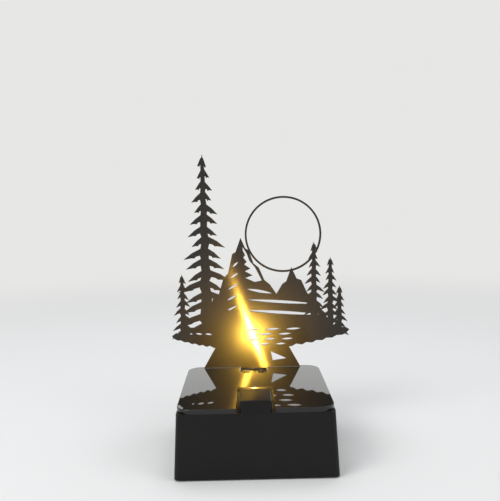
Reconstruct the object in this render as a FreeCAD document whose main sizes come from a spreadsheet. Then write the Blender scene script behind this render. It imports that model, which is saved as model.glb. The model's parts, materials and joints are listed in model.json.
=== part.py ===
import FreeCAD, Part
import math
import operator
import os
from types import SimpleNamespace

import Sketcher
from FreeCAD import Placement, Rotation, Vector

# Shadow lamp: a drafted base box with a glossy deck sheet, a small hooded light at the front edge
# and a leaning cut-out panel at the back edge. The lamp stands on z = 0 with the middle of its
# base over the origin. Its front looks along -Y, and left and right are as seen from the front.

SIZES = (
    ("base_width", 100.0, "base across its top edge, left to right"),
    ("base_depth", 100.0, "base across its top edge, front to back"),
    ("shell_height", 41.0, "housing from its rim to its deck"),
    ("wall_draft", 2.0, "how far each wall spreads from the deck down to the rim"),
    ("edge_radius", 3.0, "upright outer edges of the housing"),
    ("inner_radius", 2.0, "upright edges inside the housing"),
    ("wall", 2.4, "housing wall"),
    ("deck", 2.5, "housing deck"),
    ("foot_standoff", 1.0, "gap under the housing rim"),
    ("post_radius", 4.0, "corner screw post"),
    ("post_inset", 7.5, "post axis to the base's top edge"),
    ("gusset", 1.6, "ribs from the posts to the walls"),
    ("gusset_foot", 10.0, "height at which the post ribs begin"),
    ("gusset_root", 0.5, "how far inside the base's top edge the post ribs end"),
    ("cover_screw_head", 2.75, "cover screw's head, radius"),
    ("cover_screw_head_height", 1.7, "cover screw's head"),
    ("cover_screw_shank", 1.2, "cover screw's shank, radius"),
    ("cover_screw_length", 9.0, "cover screw's shank"),
    ("panel_screw_head", 2.2, "panel screw's head, radius"),
    ("panel_screw_head_height", 1.3, "panel screw's head"),
    ("panel_screw_shank", 1.0, "panel screw's shank, radius"),
    ("panel_screw_length", 7.5, "panel screw's shank"),
    ("hood_screw_head", 1.8, "hood screw's head, radius"),
    ("hood_screw_head_height", 1.2, "hood screw's head"),
    ("hood_screw_shank", 0.8, "hood screw's shank, radius"),
    ("hood_screw_length", 7.5, "hood screw's shank"),
    ("sheet_thickness", 3.0, "glossy deck sheet"),
    ("sheet_corner", 10.0, "sheet's plan corners"),
    ("sheet_chamfer", 0.3, "polished top edge of the sheet"),
    ("notch_corner", 1.0, "inner corners of the sheet's notches"),
    ("light_notch_width", 24.0, "front notch of the sheet"),
    ("light_notch_depth", 45.0, "front notch of the sheet"),
    ("panel_thickness", 1.5, "steel of the cut-out panel"),
    ("panel_lean", 4.0, "degrees that the panel leans forward"),
    ("panel_setback", 4.0, "panel's front face to the sheet's back edge"),
    ("panel_gap", 0.2, "panel's foot above the sheet"),
    ("tongue_width", 20.0, "tongue through the back notch"),
    ("tongue_clearance", 0.3, "notch around the tongue, each side"),
    ("flange_length", 14.0, "bent foot, from the panel's face forward"),
    ("flange_room", 1.0, "back notch beyond the end of the bent foot"),
    ("bend_radius", 1.0, "inside of the bend"),
    ("panel_screw_spacing", 11.0, "between the two panel screws"),
    ("panel_screw_inset", 5.0, "panel screws to the front end of the bent foot"),
    ("boss_radius", 3.0, "bosses under the deck for the panel screws"),
    ("boss_length", 6.0, "bosses under the deck for the panel screws"),
    ("pilot_end", 1.0, "plastic left past the end of a blind pilot hole"),
    ("screw_clearance", 0.3, "holes that a screw passes through"),
    ("foot_left", 38.0, "panel foot to the left of the middle"),
    ("foot_right", 36.0, "panel foot to the right of the middle"),
    ("neck_left", 29.0, "panel neck to the left of the middle"),
    ("neck_right", 27.5, "panel neck to the right of the middle"),
    ("neck_height", 16.0, "top of the panel's flared foot"),
    ("ground_left", 62.0, "picture's ground to the left of the middle"),
    ("ground_right", 74.0, "picture's ground to the right of the middle"),
    ("ground_height", 33.0, "picture's ground line"),
    ("peak_height", 101.0, "main mountain"),
    ("peak_place", -8.0, "main mountain, left or right of the middle"),
    ("moon_height", 103.0, "middle of the moon ring"),
    ("moon_place", 24.0, "middle of the moon ring"),
    ("moon_radius", 28.0, "middle of the ring's line"),
    ("moon_line", 1.4, "width of the ring's line"),
    ("fir_height", 163.5, "tip of the tall fir"),
    ("fir_place", -35.0, "trunk of the tall fir"),
    ("fir_reach", 25.0, "longest branches of the tall fir"),
    ("ring_fir_height", 97.0, "tip of the fir on the moon's right side"),
    ("near_fir_height", 85.0, "tip of the fir beyond it"),
    ("last_fir_height", 63.0, "tip of the fir at the right end"),
    ("first_fir_height", 74.0, "tip of the fir at the left end"),
    ("hood_width", 20.0, "light hood"),
    ("hood_length", 25.0, "light hood"),
    ("hood_rise", 5.0, "light hood above the sheet"),
    ("hood_wall", 1.2, "light hood"),
    ("hood_edge", 1.5, "upright edges of the hood"),
    ("hood_round", 0.9, "top edges of the hood"),
    ("hood_post_radius", 1.9, "screw posts in the hood"),
    ("hood_post_gap", 0.6, "screw posts to the hood's side walls"),
    ("screw_head_gap", 0.2, "hood screws' heads to the housing's front wall"),
    ("hood_tab_depth", 1.5, "locating tabs into the deck"),
    ("hood_tab_length", 3.0, "locating tabs, front to back"),
    ("hood_tab_inset", 3.0, "locating tabs to the hood's back"),
    ("tab_clearance", 0.1, "locating tabs in the deck's slots"),
    ("led_radius", 1.5, "light-emitting lamp's dome"),
    ("window_clearance", 0.15, "hood's window around the dome"),
    ("led_flange", 1.9, "lamp's collar"),
    ("led_collar", 1.0, "lamp's collar, along its axis"),
    ("led_length", 5.3, "collar to the tip of the dome"),
    ("led_tilt", 20.0, "degrees that the lamp aims up"),
    ("led_height", 4.3, "lamp's axis above the deck where it leaves the hood"),
    ("led_inset", 3.4, "lamp's collar inside the hood's rear wall"),
    ("board_thickness", 1.2, "circuit board"),
    ("board_width", 13.0, "circuit board"),
    ("board_length", 16.0, "circuit board"),
    ("board_gap", 0.5, "circuit board to the hood's back wall"),
    ("leg_pitch", 2.54, "between the lamp's two legs"),
    ("leg_size", 0.5, "lamp's square legs"),
    ("leg_hole", 0.45, "board's holes for the legs, radius"),
    ("leg_end", 0.1, "legs' ends above the deck"),
    ("leg_run", 1.6, "lamp's collar to the legs' bend"),
    ("chip_length", 3.2, "resistor"),
    ("chip_width", 1.5, "resistor"),
    ("chip_height", 0.5, "resistor"),
    ("chip_cap", 0.5, "resistor's end caps"),
    ("chip_proud", 0.05, "end caps beyond the resistor's body"),
    ("resistor_gap", 3.2, "wires to the resistor"),
    ("wire_spacing", 5.0, "between the two wires at the board"),
    ("wire_inset", 4.0, "wires to the board's front edge"),
    ("wire_margin", 0.6, "deck opening around the two wires"),
    ("cell_diameter", 10.5, "AAA cell"),
    ("cell_length", 44.5, "AAA cell with its nub"),
    ("nub_radius", 1.9, "cell's nub"),
    ("nub_height", 0.8, "cell's nub"),
    ("cell_gap", 0.5, "between the cells and beside them"),
    ("cell_clearance", 0.3, "cells above the door"),
    ("spring_room", 4.1, "between a contact plate and a cell's flat end"),
    ("plate_thickness", 0.4, "contact plates"),
    ("plate_margin", 1.0, "contact plates inside the cells' outlines"),
    ("plate_foot", 0.8, "contact plates above the bay's ledge"),
    ("plate_headroom", 0.4, "contact plates below the bay's ceiling"),
    ("bump", 0.6, "raised button on a contact plate"),
    ("bump_radius", 2.2, "raised button on a contact plate"),
    ("leaf_thickness", 0.3, "leaf springs"),
    ("leaf_width", 5.0, "leaf springs"),
    ("leaf_inset", 0.5, "leaf springs' ends to the plates' edges"),
    ("leaf_root", 0.1, "how far a leaf spring's foot goes into its plate"),
    ("leaf_lift", 0.5, "leaf spring's free end off its plate"),
    ("leaf_gap", 0.1, "leaf spring to the cell's flat end"),
    ("tab_width", 3.0, "solder tabs"),
    ("tab_rise", 4.0, "solder tabs above the bay"),
    ("tab_slot_clearance", 0.15, "solder tabs in the bay's ceiling"),
    ("bay_wall", 1.5, "battery bay"),
    ("bay_headroom", 0.4, "bay's ceiling above the cells"),
    ("ridge_width", 1.2, "ridges between the cells"),
    ("ridge_depth", 3.0, "ridges between the cells"),
    ("bay_lip", 2.5, "ledge around the bay that the door closes on"),
    ("bay_frame", 1.2, "thickening around the bay"),
    ("cover_thickness", 2.5, "bottom cover"),
    ("cover_clearance", 0.3, "bottom cover to the housing wall"),
    ("counterbore", 1.4, "how deep the cover screws' heads sink into the cover"),
    ("door_thickness", 2.0, "battery door"),
    ("door_clearance", 0.3, "battery door in its recess"),
    ("door_headroom", 0.2, "battery door below its ledge"),
    ("pin_radius", 0.6, "door's moulded pins"),
    ("pin_length", 1.8, "door's moulded pins"),
    ("pin_end", 0.2, "door's pins to the ends of their sockets"),
    ("latch_width", 12.0, "door's spring tongue"),
    ("latch_length", 11.0, "door's spring tongue"),
    ("latch_slot", 1.0, "slots beside the spring tongue"),
    ("grip_width", 9.0, "grip bars on the tongue"),
    ("grip_bar", 0.8, "grip bars on the tongue"),
    ("grip_pitch", 1.8, "between the grip bars"),
    ("grip_rise", 0.35, "grip bars on the tongue"),
    ("scoop_radius", 7.0, "finger scoop beside the tongue"),
    ("scoop_depth", 1.2, "finger scoop beside the tongue"),
    ("pin_clearance", 0.05, "pins and shafts in their bores"),
    ("foot_pad_radius", 5.0, "rubber foot"),
    ("foot_pad_side", 32.0, "rubber foot from the middle, left and right"),
    ("foot_pad_inset", 9.0, "rubber foot to the base's top edge, front and back"),
    ("switch_side", 26.0, "switch from the middle"),
    ("switch_height", 24.0, "switch's pivot"),
    ("switch_recess", 2.8, "switch seat below the back edge of the deck"),
    ("bezel_width", 10.5, "switch bezel"),
    ("bezel_height", 15.0, "switch bezel"),
    ("bezel_thickness", 1.2, "switch bezel"),
    ("bezel_chamfer", 0.4, "outer edge of the switch bezel"),
    ("bezel_corner", 1.0, "corners of the switch bezel"),
    ("seat_margin", 1.2, "switch seat around the bezel"),
    ("seat_corner", 1.5, "corners of the switch seat"),
    ("body_clearance", 0.1, "switch body in the housing"),
    ("body_width", 8.6, "switch body"),
    ("body_height", 13.4, "switch body"),
    ("body_depth", 10.0, "switch body behind its bezel"),
    ("body_floor", 2.5, "switch body under the rocker's well"),
    ("wing_width", 5.6, "snap wings on the switch body"),
    ("wing_rise", 0.6, "snap wings on the switch body"),
    ("wing_length", 2.5, "snap wings on the switch body"),
    ("wing_root", 0.2, "how far the wings go into the body"),
    ("wing_clearance", 0.1, "snap wings behind the seat"),
    ("rocker_width", 6.9, "rocker"),
    ("rocker_radius", 5.6, "rocker's ends about the pivot"),
    ("rocker_depth", 1.0, "rocker's pivot below the seat"),
    ("rocker_crown", 2.9, "rocker's ends above the pivot"),
    ("rocker_dip", 1.9, "middle of the rocker above the pivot"),
    ("rocker_skirt", 1.4, "rocker's round ends below the pivot"),
    ("rocker_keel", 3.0, "rocker's underside below the pivot"),
    ("rocker_keel_width", 2.4, "rocker's underside"),
    ("rocker_clearance", 0.25, "rocker to the switch body"),
    ("rocker_pin", 0.9, "rocker's stub pins"),
    ("rocker_swing", 20.0, "degrees from on to off"),
    ("blade_width", 2.8, "solder blades"),
    ("blade_thickness", 0.6, "solder blades"),
    ("blade_length", 6.0, "solder blades"),
    ("blade_eye", 0.7, "holes in the solder blades, radius"),
    ("eye_inset", 2.0, "holes to the blades' ends"),
    ("lead_radius", 0.65, "insulated wires"),
    ("solder_gap", 0.05, "wires to what they are soldered to"),
    ("lead_lap", 0.8, "wires over the ends of the solder blades"),
    ("lead_drop", 10.0, "wires' straight runs under the board"),
    ("lead_run", 7.0, "switch wire's straight run beyond its blade"),
    ("lamp_lead_run", 19.0, "lamp wire's first run beyond its blade"),
)


class Size:
    """A length that carries the sheet expression it comes from."""

    def __init__(self, expression, value):
        self.expression = expression
        self.value = value

    def __add__(self, other):
        return joined(self, "+", other)

    def __radd__(self, other):
        return joined(other, "+", self)

    def __sub__(self, other):
        return joined(self, "-", other)

    def __rsub__(self, other):
        return joined(other, "-", self)

    def __mul__(self, other):
        return joined(self, "*", other)

    def __rmul__(self, other):
        return joined(other, "*", self)

    def __truediv__(self, other):
        return joined(self, "/", other)

    def __neg__(self):
        return Size(f"(-{self.expression})", -self.value)


OPERATIONS = {"+": operator.add, "-": operator.sub, "*": operator.mul, "/": operator.truediv}


def value_of(number):
    return number.value if isinstance(number, Size) else float(number)


def words_of(number):
    return number.expression if isinstance(number, Size) else repr(float(number))


def joined(left, sign, right):
    value = OPERATIONS[sign](value_of(left), value_of(right))
    return Size(f"({words_of(left)} {sign} {words_of(right)})", value)


def sine(angle):
    return Size(f"sin({words_of(angle)})", math.sin(math.radians(value_of(angle))))


def cosine(angle):
    return Size(f"cos({words_of(angle)})", math.cos(math.radians(value_of(angle))))


def make_sheet(doc):
    """Writes the driving dimensions into a spreadsheet and returns them by name."""
    sheet = doc.addObject("Spreadsheet::Sheet", "dims")
    for row, (alias, value, meaning) in enumerate(SIZES, start=1):
        sheet.set(f"A{row}", alias)
        sheet.set(f"B{row}", str(value))
        sheet.set(f"C{row}", meaning)
        sheet.setAlias(f"B{row}", alias)
    doc.recompute()
    sizes = {alias: Size(f"dims.{alias}", float(sheet.get(alias))) for alias, _, _ in SIZES}
    return SimpleNamespace(**sizes)


# Drawing: sketches on a body's own planes, with corners held by bound distances.


def bind(target, name, number):
    """Sets a property and, where the number comes from the sheet, ties it to the sheet."""
    setattr(target, name, value_of(number))
    if isinstance(number, Size):
        target.setExpression(name, number.expression)


def place(target, x=0.0, y=0.0, z=0.0, axis=Vector(0, 0, 1), angle=0.0):
    """Turns an object about an axis and moves it, with the turn and the move tied to the sheet.

    The turn is never negative, so that its axis stays as given.
    """
    base = Vector(value_of(x), value_of(y), value_of(z))
    target.Placement = Placement(base, Rotation(axis, value_of(angle)))
    for name, number in (("Base.x", x), ("Base.y", y), ("Base.z", z), ("Rotation.Angle", angle)):
        if isinstance(number, Size):
            target.setExpression(f"Placement.{name}", number.expression)


def new_body(doc, name):
    return doc.addObject("PartDesign::Body", name)


def sketch_on(body, name, role, level=0.0):
    """A sketch on one of the body's planes, moved along that plane's normal by level."""
    sketch = body.newObject("Sketcher::SketchObject", name)
    plane = [item for item in body.Origin.OriginFeatures if item.Role == role][0]
    sketch.AttachmentSupport = [(plane, "")]
    sketch.MapMode = "FlatFace"
    sketch.AttachmentOffset = Placement(Vector(0, 0, value_of(level)), Rotation())
    if isinstance(level, Size):
        sketch.setExpression("AttachmentOffset.Base.z", level.expression)
    return sketch


def hold(sketch, kind, *geometry_and_size):
    """Adds a dimension and ties it to the sheet. Geometry -1, point 1 is the sketch's origin."""
    *geometry, number = geometry_and_size
    index = sketch.addConstraint(Sketcher.Constraint(kind, *geometry, value_of(number)))
    if isinstance(number, Size):
        sketch.setExpression(f"Constraints[{index}]", number.expression)


def outline(sketch, corners):
    """A closed run of straight sides, each corner held from the sketch's origin."""
    first = sketch.GeometryCount
    points = [Vector(value_of(x), value_of(y), 0) for x, y in corners]
    count = len(points)
    sides = [Part.LineSegment(points[i], points[(i + 1) % count]) for i in range(count)]
    sketch.addGeometry(sides, False)
    for i, (x, y) in enumerate(corners):
        following = first + (i + 1) % count
        sketch.addConstraint(Sketcher.Constraint("Coincident", first + i, 2, following, 1))
        hold(sketch, "DistanceX", -1, 1, first + i, 1, x)
        hold(sketch, "DistanceY", -1, 1, first + i, 1, y)


def rectangle(sketch, left, right, low, high):
    outline(sketch, ((left, low), (right, low), (right, high), (left, high)))


def rounded_rectangle(sketch, left, right, low, high, radius):
    """Four sides and four tangent quarter arcs of one radius."""
    first = sketch.GeometryCount
    x0, x1, y0, y1, r = (value_of(n) for n in (left, right, low, high, radius))
    centres = ((x1 - r, y0 + r), (x1 - r, y1 - r), (x0 + r, y1 - r), (x0 + r, y0 + r))
    ends = (
        ((x0 + r, y0), (x1 - r, y0)),
        ((x1, y0 + r), (x1, y1 - r)),
        ((x1 - r, y1), (x0 + r, y1)),
        ((x0, y1 - r), (x0, y0 + r)),
    )
    for quarter, ((start, end), centre) in enumerate(zip(ends, centres)):
        sketch.addGeometry(Part.LineSegment(Vector(*start, 0), Vector(*end, 0)), False)
        circle_here = Part.Circle(Vector(*centre, 0), Vector(0, 0, 1), r)
        turn = (quarter - 1) * math.pi / 2
        sketch.addGeometry(Part.ArcOfCircle(circle_here, turn, turn + math.pi / 2), False)
    for step in range(8):
        following = first + (step + 1) % 8
        sketch.addConstraint(Sketcher.Constraint("Tangent", first + step, 2, following, 1))
    for step, kind in ((0, "Horizontal"), (2, "Vertical"), (4, "Horizontal"), (6, "Vertical")):
        sketch.addConstraint(Sketcher.Constraint(kind, first + step))
    for step in (3, 5, 7):
        sketch.addConstraint(Sketcher.Constraint("Equal", first + 1, first + step))
    hold(sketch, "Radius", first + 1, radius)
    hold(sketch, "DistanceX", -1, 1, first + 6, 1, left)
    hold(sketch, "DistanceX", -1, 1, first + 2, 1, right)
    hold(sketch, "DistanceY", -1, 1, first, 1, low)
    hold(sketch, "DistanceY", -1, 1, first + 4, 1, high)


def circle(sketch, x, y, radius):
    index = sketch.GeometryCount
    centre = Vector(value_of(x), value_of(y), 0)
    sketch.addGeometry(Part.Circle(centre, Vector(0, 0, 1), value_of(radius)), False)
    hold(sketch, "DistanceX", -1, 1, index, 3, x)
    hold(sketch, "DistanceY", -1, 1, index, 3, y)
    hold(sketch, "Radius", index, radius)


def free_outline(sketch, points):
    """A closed run of straight sides through points that a formula gives."""
    corners = [Vector(x, y, 0) for x, y in points]
    count = len(corners)
    sides = [Part.LineSegment(corners[i], corners[(i + 1) % count]) for i in range(count)]
    sketch.addGeometry(sides, False)


def add_feature(body, kind, name, sketch, length, reverse=False, middle=False):
    """A pad or pocket from a sketch. One that leaves the volume as it was stops the script."""
    before = body.Tip.Shape.Volume if body.Tip else 0.0
    feature = body.newObject(f"PartDesign::{kind}", name)
    feature.Profile = sketch
    bind(feature, "Length", length)
    feature.Reversed = reverse
    feature.Midplane = middle
    body.Document.recompute()
    change = feature.Shape.Volume - before
    if (change if kind == "Pad" else -change) <= 1e-6:
        raise RuntimeError(f"{body.Label}: {name} changes nothing")
    return feature


def pad(body, name, sketch, length, **options):
    return add_feature(body, "Pad", name, sketch, length, **options)


def pocket(body, name, sketch, length, **options):
    return add_feature(body, "Pocket", name, sketch, length, **options)


def dress_edges(body, kind, name, size, wanted):
    """A fillet or chamfer on the edges of the body's present shape for which wanted(edge) holds."""
    base = body.Tip
    chosen = [f"Edge{i}" for i, edge in enumerate(base.Shape.Edges, start=1) if wanted(edge)]
    if not chosen:
        raise RuntimeError(f"{body.Label}: {name} finds no edge")
    feature = body.newObject(f"PartDesign::{kind}", name)
    feature.Base = (base, chosen)
    bind(feature, "Radius" if kind == "Fillet" else "Size", size)
    body.Document.recompute()


def fillet(body, name, radius, wanted):
    dress_edges(body, "Fillet", name, radius, wanted)


def chamfer(body, name, size, wanted):
    dress_edges(body, "Chamfer", name, size, wanted)


def draft_walls(body, name, angle, level, rise, reverse=False):
    """Leans the body's upright walls of some height, about its flat face at some level."""
    base = body.Tip
    faces = list(enumerate(base.Shape.Faces, start=1))
    walls = [f"Face{i}" for i, face in faces
             if abs(face.BoundBox.ZLength - value_of(rise)) < 1e-4 and abs(face.normalAt(0, 0).z) < 1e-6]
    flat = [f"Face{i}" for i, face in faces
            if face.BoundBox.ZLength < 1e-4 and abs(face.BoundBox.ZMin - value_of(level)) < 1e-4]
    feature = body.newObject("PartDesign::Draft", name)
    feature.Base = (base, walls)
    feature.NeutralPlane = (base, flat[:1])
    bind(feature, "Angle", angle)
    feature.Reversed = reverse
    body.Document.recompute()


def climbing_by(rise):
    """Tells straight edges that climb by some height, upright or drafted."""

    def wanted(edge):
        return edge.Curve.TypeId == "Part::GeomLine" and abs(edge.BoundBox.ZLength - value_of(rise)) < 1e-3

    return wanted


def level_at(z):
    """Tells edges that lie flat at some height."""

    def wanted(edge):
        return max(abs(edge.BoundBox.ZMin - value_of(z)), abs(edge.BoundBox.ZMax - value_of(z))) < 1e-4

    return wanted


def upright_at(places):
    """Tells upright edges that stand at one of some plan positions."""

    def wanted(edge):
        box = edge.BoundBox
        if box.ZLength < 0.5 or max(box.XLength, box.YLength) > 1e-4:
            return False
        return any(math.hypot(box.XMin - x, box.YMin - y) < 1e-3 for x, y in places)

    return wanted


def turned(doc, name, corners):
    """A body of revolution about its own Z axis, from radius and height pairs."""
    body = new_body(doc, name)
    profile = sketch_on(body, f"{name}_profile", "XZ_Plane")
    outline(profile, corners)
    spin = body.newObject("PartDesign::Revolution", f"{name}_turned")
    spin.Profile = profile
    spin.ReferenceAxis = (profile, ["V_Axis"])
    spin.Angle = 360.0
    doc.recompute()
    return body


def group(doc, name, members):
    """Like pieces that share one node as separate solids."""
    compound = doc.addObject("Part::Compound", name)
    compound.Links = members
    doc.recompute()
    return compound


def levels(d):
    """Heights and places that several pieces share."""
    d.deck_top = d.foot_standoff + d.shell_height
    d.deck_under = d.deck_top - d.deck
    d.sheet_top = d.deck_top + d.sheet_thickness
    d.draft_angle = Size("atan(dims.wall_draft / dims.shell_height)",
                         math.degrees(math.atan(value_of(d.wall_draft / d.shell_height))))
    d.rim_half_x = d.base_width / 2 + d.wall_draft
    d.rim_half_y = d.base_depth / 2 + d.wall_draft
    d.post_x = d.base_width / 2 - d.post_inset
    d.post_y = d.base_depth / 2 - d.post_inset
    d.cover_top = d.foot_standoff + d.cover_thickness
    d.front_y = -(d.base_depth / 2)
    d.back_y = d.base_depth / 2
    d.panel_y = d.back_y - d.panel_setback
    d.flange_end = d.panel_y - d.flange_length
    d.panel_screw_y = d.flange_end + d.panel_screw_inset


def cheese_screw(doc, name, head, head_height, shank, length):
    """A cheese-head screw with its shank along +Z from the underside of its head at z = 0."""
    return turned(doc, name, (
        (0, -head_height), (head, -head_height), (head, 0), (shank, 0), (shank, length), (0, length)))


def signs():
    """The four corners of a plan, as signs of x and y."""
    return [(sx, sy) for sx in (-1, 1) for sy in (-1, 1)]


# Housing: moulded shell with drafted walls, deck, corner posts with ribs, and a switch seat.


def make_housing(doc, d):
    body = new_body(doc, "base_housing")
    plan = sketch_on(body, "housing_plan", "XY_Plane", d.foot_standoff)
    rectangle(plan, -d.rim_half_x, d.rim_half_x, -d.rim_half_y, d.rim_half_y)
    pad(body, "housing_block", plan, d.shell_height)
    draft_walls(body, "outer_draft", d.draft_angle, d.foot_standoff, d.shell_height)

    inside = sketch_on(body, "housing_inside", "XY_Plane", d.foot_standoff)
    inner_x = d.rim_half_x - d.wall
    inner_y = d.rim_half_y - d.wall
    rectangle(inside, -inner_x, inner_x, -inner_y, inner_y)
    pocket(body, "housing_hollow", inside, d.shell_height - d.deck, reverse=True)
    draft_walls(body, "inner_draft", d.draft_angle, d.foot_standoff, d.shell_height - d.deck, reverse=True)
    fillet(body, "outer_edges", d.edge_radius, climbing_by(d.shell_height))
    fillet(body, "inner_edges", d.inner_radius, climbing_by(d.shell_height - d.deck))

    posts = sketch_on(body, "post_plan", "XY_Plane", d.cover_top)
    for sx, sy in signs():
        circle(posts, sx * d.post_x, sy * d.post_y, d.post_radius)
    pad(body, "posts", posts, d.deck_under - d.cover_top)

    across = sketch_on(body, "rib_plan_across", "XY_Plane", d.gusset_foot)
    along = sketch_on(body, "rib_plan_along", "XY_Plane", d.gusset_foot)
    half = d.gusset / 2
    for sx, sy in signs():
        x_ends = sorted((sx * d.post_x, sx * (d.base_width / 2 - d.gusset_root)), key=value_of)
        y_ends = sorted((sy * d.post_y, sy * (d.base_depth / 2 - d.gusset_root)), key=value_of)
        rectangle(across, x_ends[0], x_ends[1], sy * d.post_y - half, sy * d.post_y + half)
        rectangle(along, sx * d.post_x - half, sx * d.post_x + half, y_ends[0], y_ends[1])
    pad(body, "ribs_across", across, d.deck_under - d.gusset_foot)
    pad(body, "ribs_along", along, d.deck_under - d.gusset_foot)

    pilots = sketch_on(body, "pilot_plan", "XY_Plane", d.cover_top)
    for sx, sy in signs():
        circle(pilots, sx * d.post_x, sy * d.post_y, d.cover_screw_shank + d.pin_clearance)
    pocket(body, "pilots", pilots, d.cover_screw_length, reverse=True)

    add_panel_bosses(body, d)
    add_deck_holes(body, d)
    add_switch_seat(body, d)
    return body


def add_panel_bosses(body, d):
    """Two bosses under the deck that take the screws of the panel's bent foot."""
    bosses = sketch_on(body, "boss_plan", "XY_Plane", d.deck_under)
    holes = sketch_on(body, "boss_hole_plan", "XY_Plane", d.deck_top)
    for side in (-1, 1):
        x = side * d.panel_screw_spacing / 2
        circle(bosses, x, d.panel_screw_y, d.boss_radius)
        circle(holes, x, d.panel_screw_y, d.panel_screw_shank + d.pin_clearance)
    pad(body, "bosses", bosses, d.boss_length, reverse=True)
    pocket(body, "boss_holes", holes, d.deck + d.boss_length - d.pilot_end)


def add_deck_holes(body, d):
    """Openings under the hood for its screws, its locating tabs and the wires."""
    plan = sketch_on(body, "deck_hole_plan", "XY_Plane", d.deck_top)
    for side in (-1, 1):
        circle(plan, side * d.hood_post_x, d.hood_post_y, d.hood_screw_shank + d.screw_clearance)
        near = side * (d.tab_x - d.tab_clearance)
        far = side * (d.tab_x + d.hood_wall + d.tab_clearance)
        left, right = sorted((near, far), key=value_of)
        rectangle(plan, left, right, d.tab_front - d.tab_clearance, d.tab_back + d.tab_clearance)
    room = d.lead_radius + d.wire_margin
    half = d.wire_spacing / 2 + room
    rectangle(plan, -half, half, d.wire_y - room, d.wire_y + room)
    pocket(body, "deck_holes", plan, d.deck)


def add_switch_seat(body, d):
    """A flat seat set into the drafted back wall, backed by a boss and cut for the switch."""
    x0 = d.switch_side
    z0 = d.switch_height
    half_x = d.bezel_width / 2 + d.seat_margin
    half_z = d.bezel_height / 2 + d.seat_margin
    hole_x = d.body_width / 2 + d.body_clearance
    hole_z = d.body_height / 2 + d.body_clearance
    boss = sketch_on(body, "seat_boss_plan", "XZ_Plane", -(d.seat_y - d.wall))
    rectangle(boss, x0 - half_x - d.wall, x0 + half_x + d.wall, z0 - half_z - d.wall, z0 + half_z + d.wall)
    pad(body, "seat_boss", boss, d.back_y - d.gusset_root - (d.seat_y - d.wall), reverse=True)
    recess = sketch_on(body, "seat_plan", "XZ_Plane", -(d.back_y + d.wall_draft))
    rounded_rectangle(recess, x0 - half_x, x0 + half_x, z0 - half_z, z0 + half_z, d.seat_corner)
    pocket(body, "seat", recess, d.back_y + d.wall_draft - d.seat_y, reverse=True)
    hole = sketch_on(body, "switch_hole_plan", "XZ_Plane", -d.seat_y)
    rectangle(hole, x0 - hole_x, x0 + hole_x, z0 - hole_z, z0 + hole_z)
    pocket(body, "switch_hole", hole, d.wall, reverse=True)


# Deck sheet: glossy acrylic, cut with a notch for the light and one for the panel's tongue.


def make_sheet_of_acrylic(doc, d):
    body = new_body(doc, "top_sheet")
    plan = sketch_on(body, "sheet_plan", "XY_Plane", d.deck_top)
    half_x = d.base_width / 2
    rounded_rectangle(plan, -half_x, half_x, d.front_y, d.back_y, d.sheet_corner)
    pad(body, "sheet", plan, d.sheet_thickness)
    past = 1.0
    light = sketch_on(body, "light_notch_plan", "XY_Plane", d.sheet_top)
    light_x = d.light_notch_width / 2
    light_y = d.front_y + d.light_notch_depth
    rectangle(light, -light_x, light_x, d.front_y - past, light_y)
    pocket(body, "light_notch", light, d.sheet_thickness)
    tongue = sketch_on(body, "tongue_notch_plan", "XY_Plane", d.sheet_top)
    tongue_x = d.tongue_width / 2 + d.tongue_clearance
    tongue_y = d.flange_end - d.flange_room
    rectangle(tongue, -tongue_x, tongue_x, tongue_y, d.back_y + past)
    pocket(body, "tongue_notch", tongue, d.sheet_thickness)
    inner_corners = [(side * value_of(x), value_of(y))
                     for side in (-1, 1) for x, y in ((light_x, light_y), (tongue_x, tongue_y))]
    fillet(body, "notch_corners", d.notch_corner, upright_at(inner_corners))
    chamfer(body, "polished_edge", d.sheet_chamfer, level_at(d.sheet_top))
    return body


# Cut-out panel: one steel sheet with a night landscape, a flared foot and a bent tongue.


def panel_sketch(body, name, d):
    """A sketch in the plane of the panel's front face, with z = 0 at the deck sheet."""
    sketch = sketch_on(body, name, "XZ_Plane", -d.panel_y)
    offset = Vector(0, value_of(d.sheet_top), -value_of(d.panel_y))
    sketch.AttachmentOffset = Placement(offset, Rotation(Vector(1, 0, 0), value_of(d.panel_lean)))
    sketch.setExpression("AttachmentOffset.Base.y", d.sheet_top.expression)
    sketch.setExpression("AttachmentOffset.Base.z", f"-{d.panel_y.expression}")
    sketch.setExpression("AttachmentOffset.Rotation.Angle", d.panel_lean.expression)
    return sketch


FULL_BRANCH = (
    (0.20, 0.00, 0.00),
    (0.38, -0.20, 0.00),
    (0.47, -0.20, -0.16),
    (0.62, -0.55, 0.00),
    (1.00, -0.90, 0.02),
    (0.58, -0.10, 0.28),
    (0.17, 0.00, 0.62),
)
PLAIN_BRANCH = (
    (0.25, 0.00, 0.00),
    (1.00, -0.90, -0.05),
    (0.60, -0.10, 0.26),
    (0.18, 0.00, 0.62),
)


def fir_outline(x, base, tip, reach, tiers, branch, phase):
    """Up one side of a fir and down the other, tier by tier.

    Each branch gives shares of its own reach, droop and tier height for the points from the trunk
    along its underside, round its tip and back. Reach falls with a power of the height. Two sines
    make reach and level uneven, and the two sides differ.
    """
    step = (tip - base) / tiers
    sides = {}
    for side in (-1, 1):
        points = []
        for tier in range(tiers):
            uneven = 0.80 + 0.20 * math.sin(2.3 * tier + phase + 1.7 * side)
            span = reach * (1 - tier / tiers) ** 0.85 * uneven + 0.7
            droop = (0.22 + 0.03 * math.sin(1.7 * tier + 2.0 * phase + side)) * span + 0.4
            level = base + (tier + 0.06 * math.sin(3.3 * tier + phase - side)) * step
            for share, drops, steps in branch:
                points.append((x + side * (share * span + 0.7), level + drops * droop + steps * step))
        points.append((x + side * 0.45, tip - 0.30 * step))
        sides[side] = points
    return sides[-1] + [(x, tip)] + sides[1][::-1]


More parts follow.
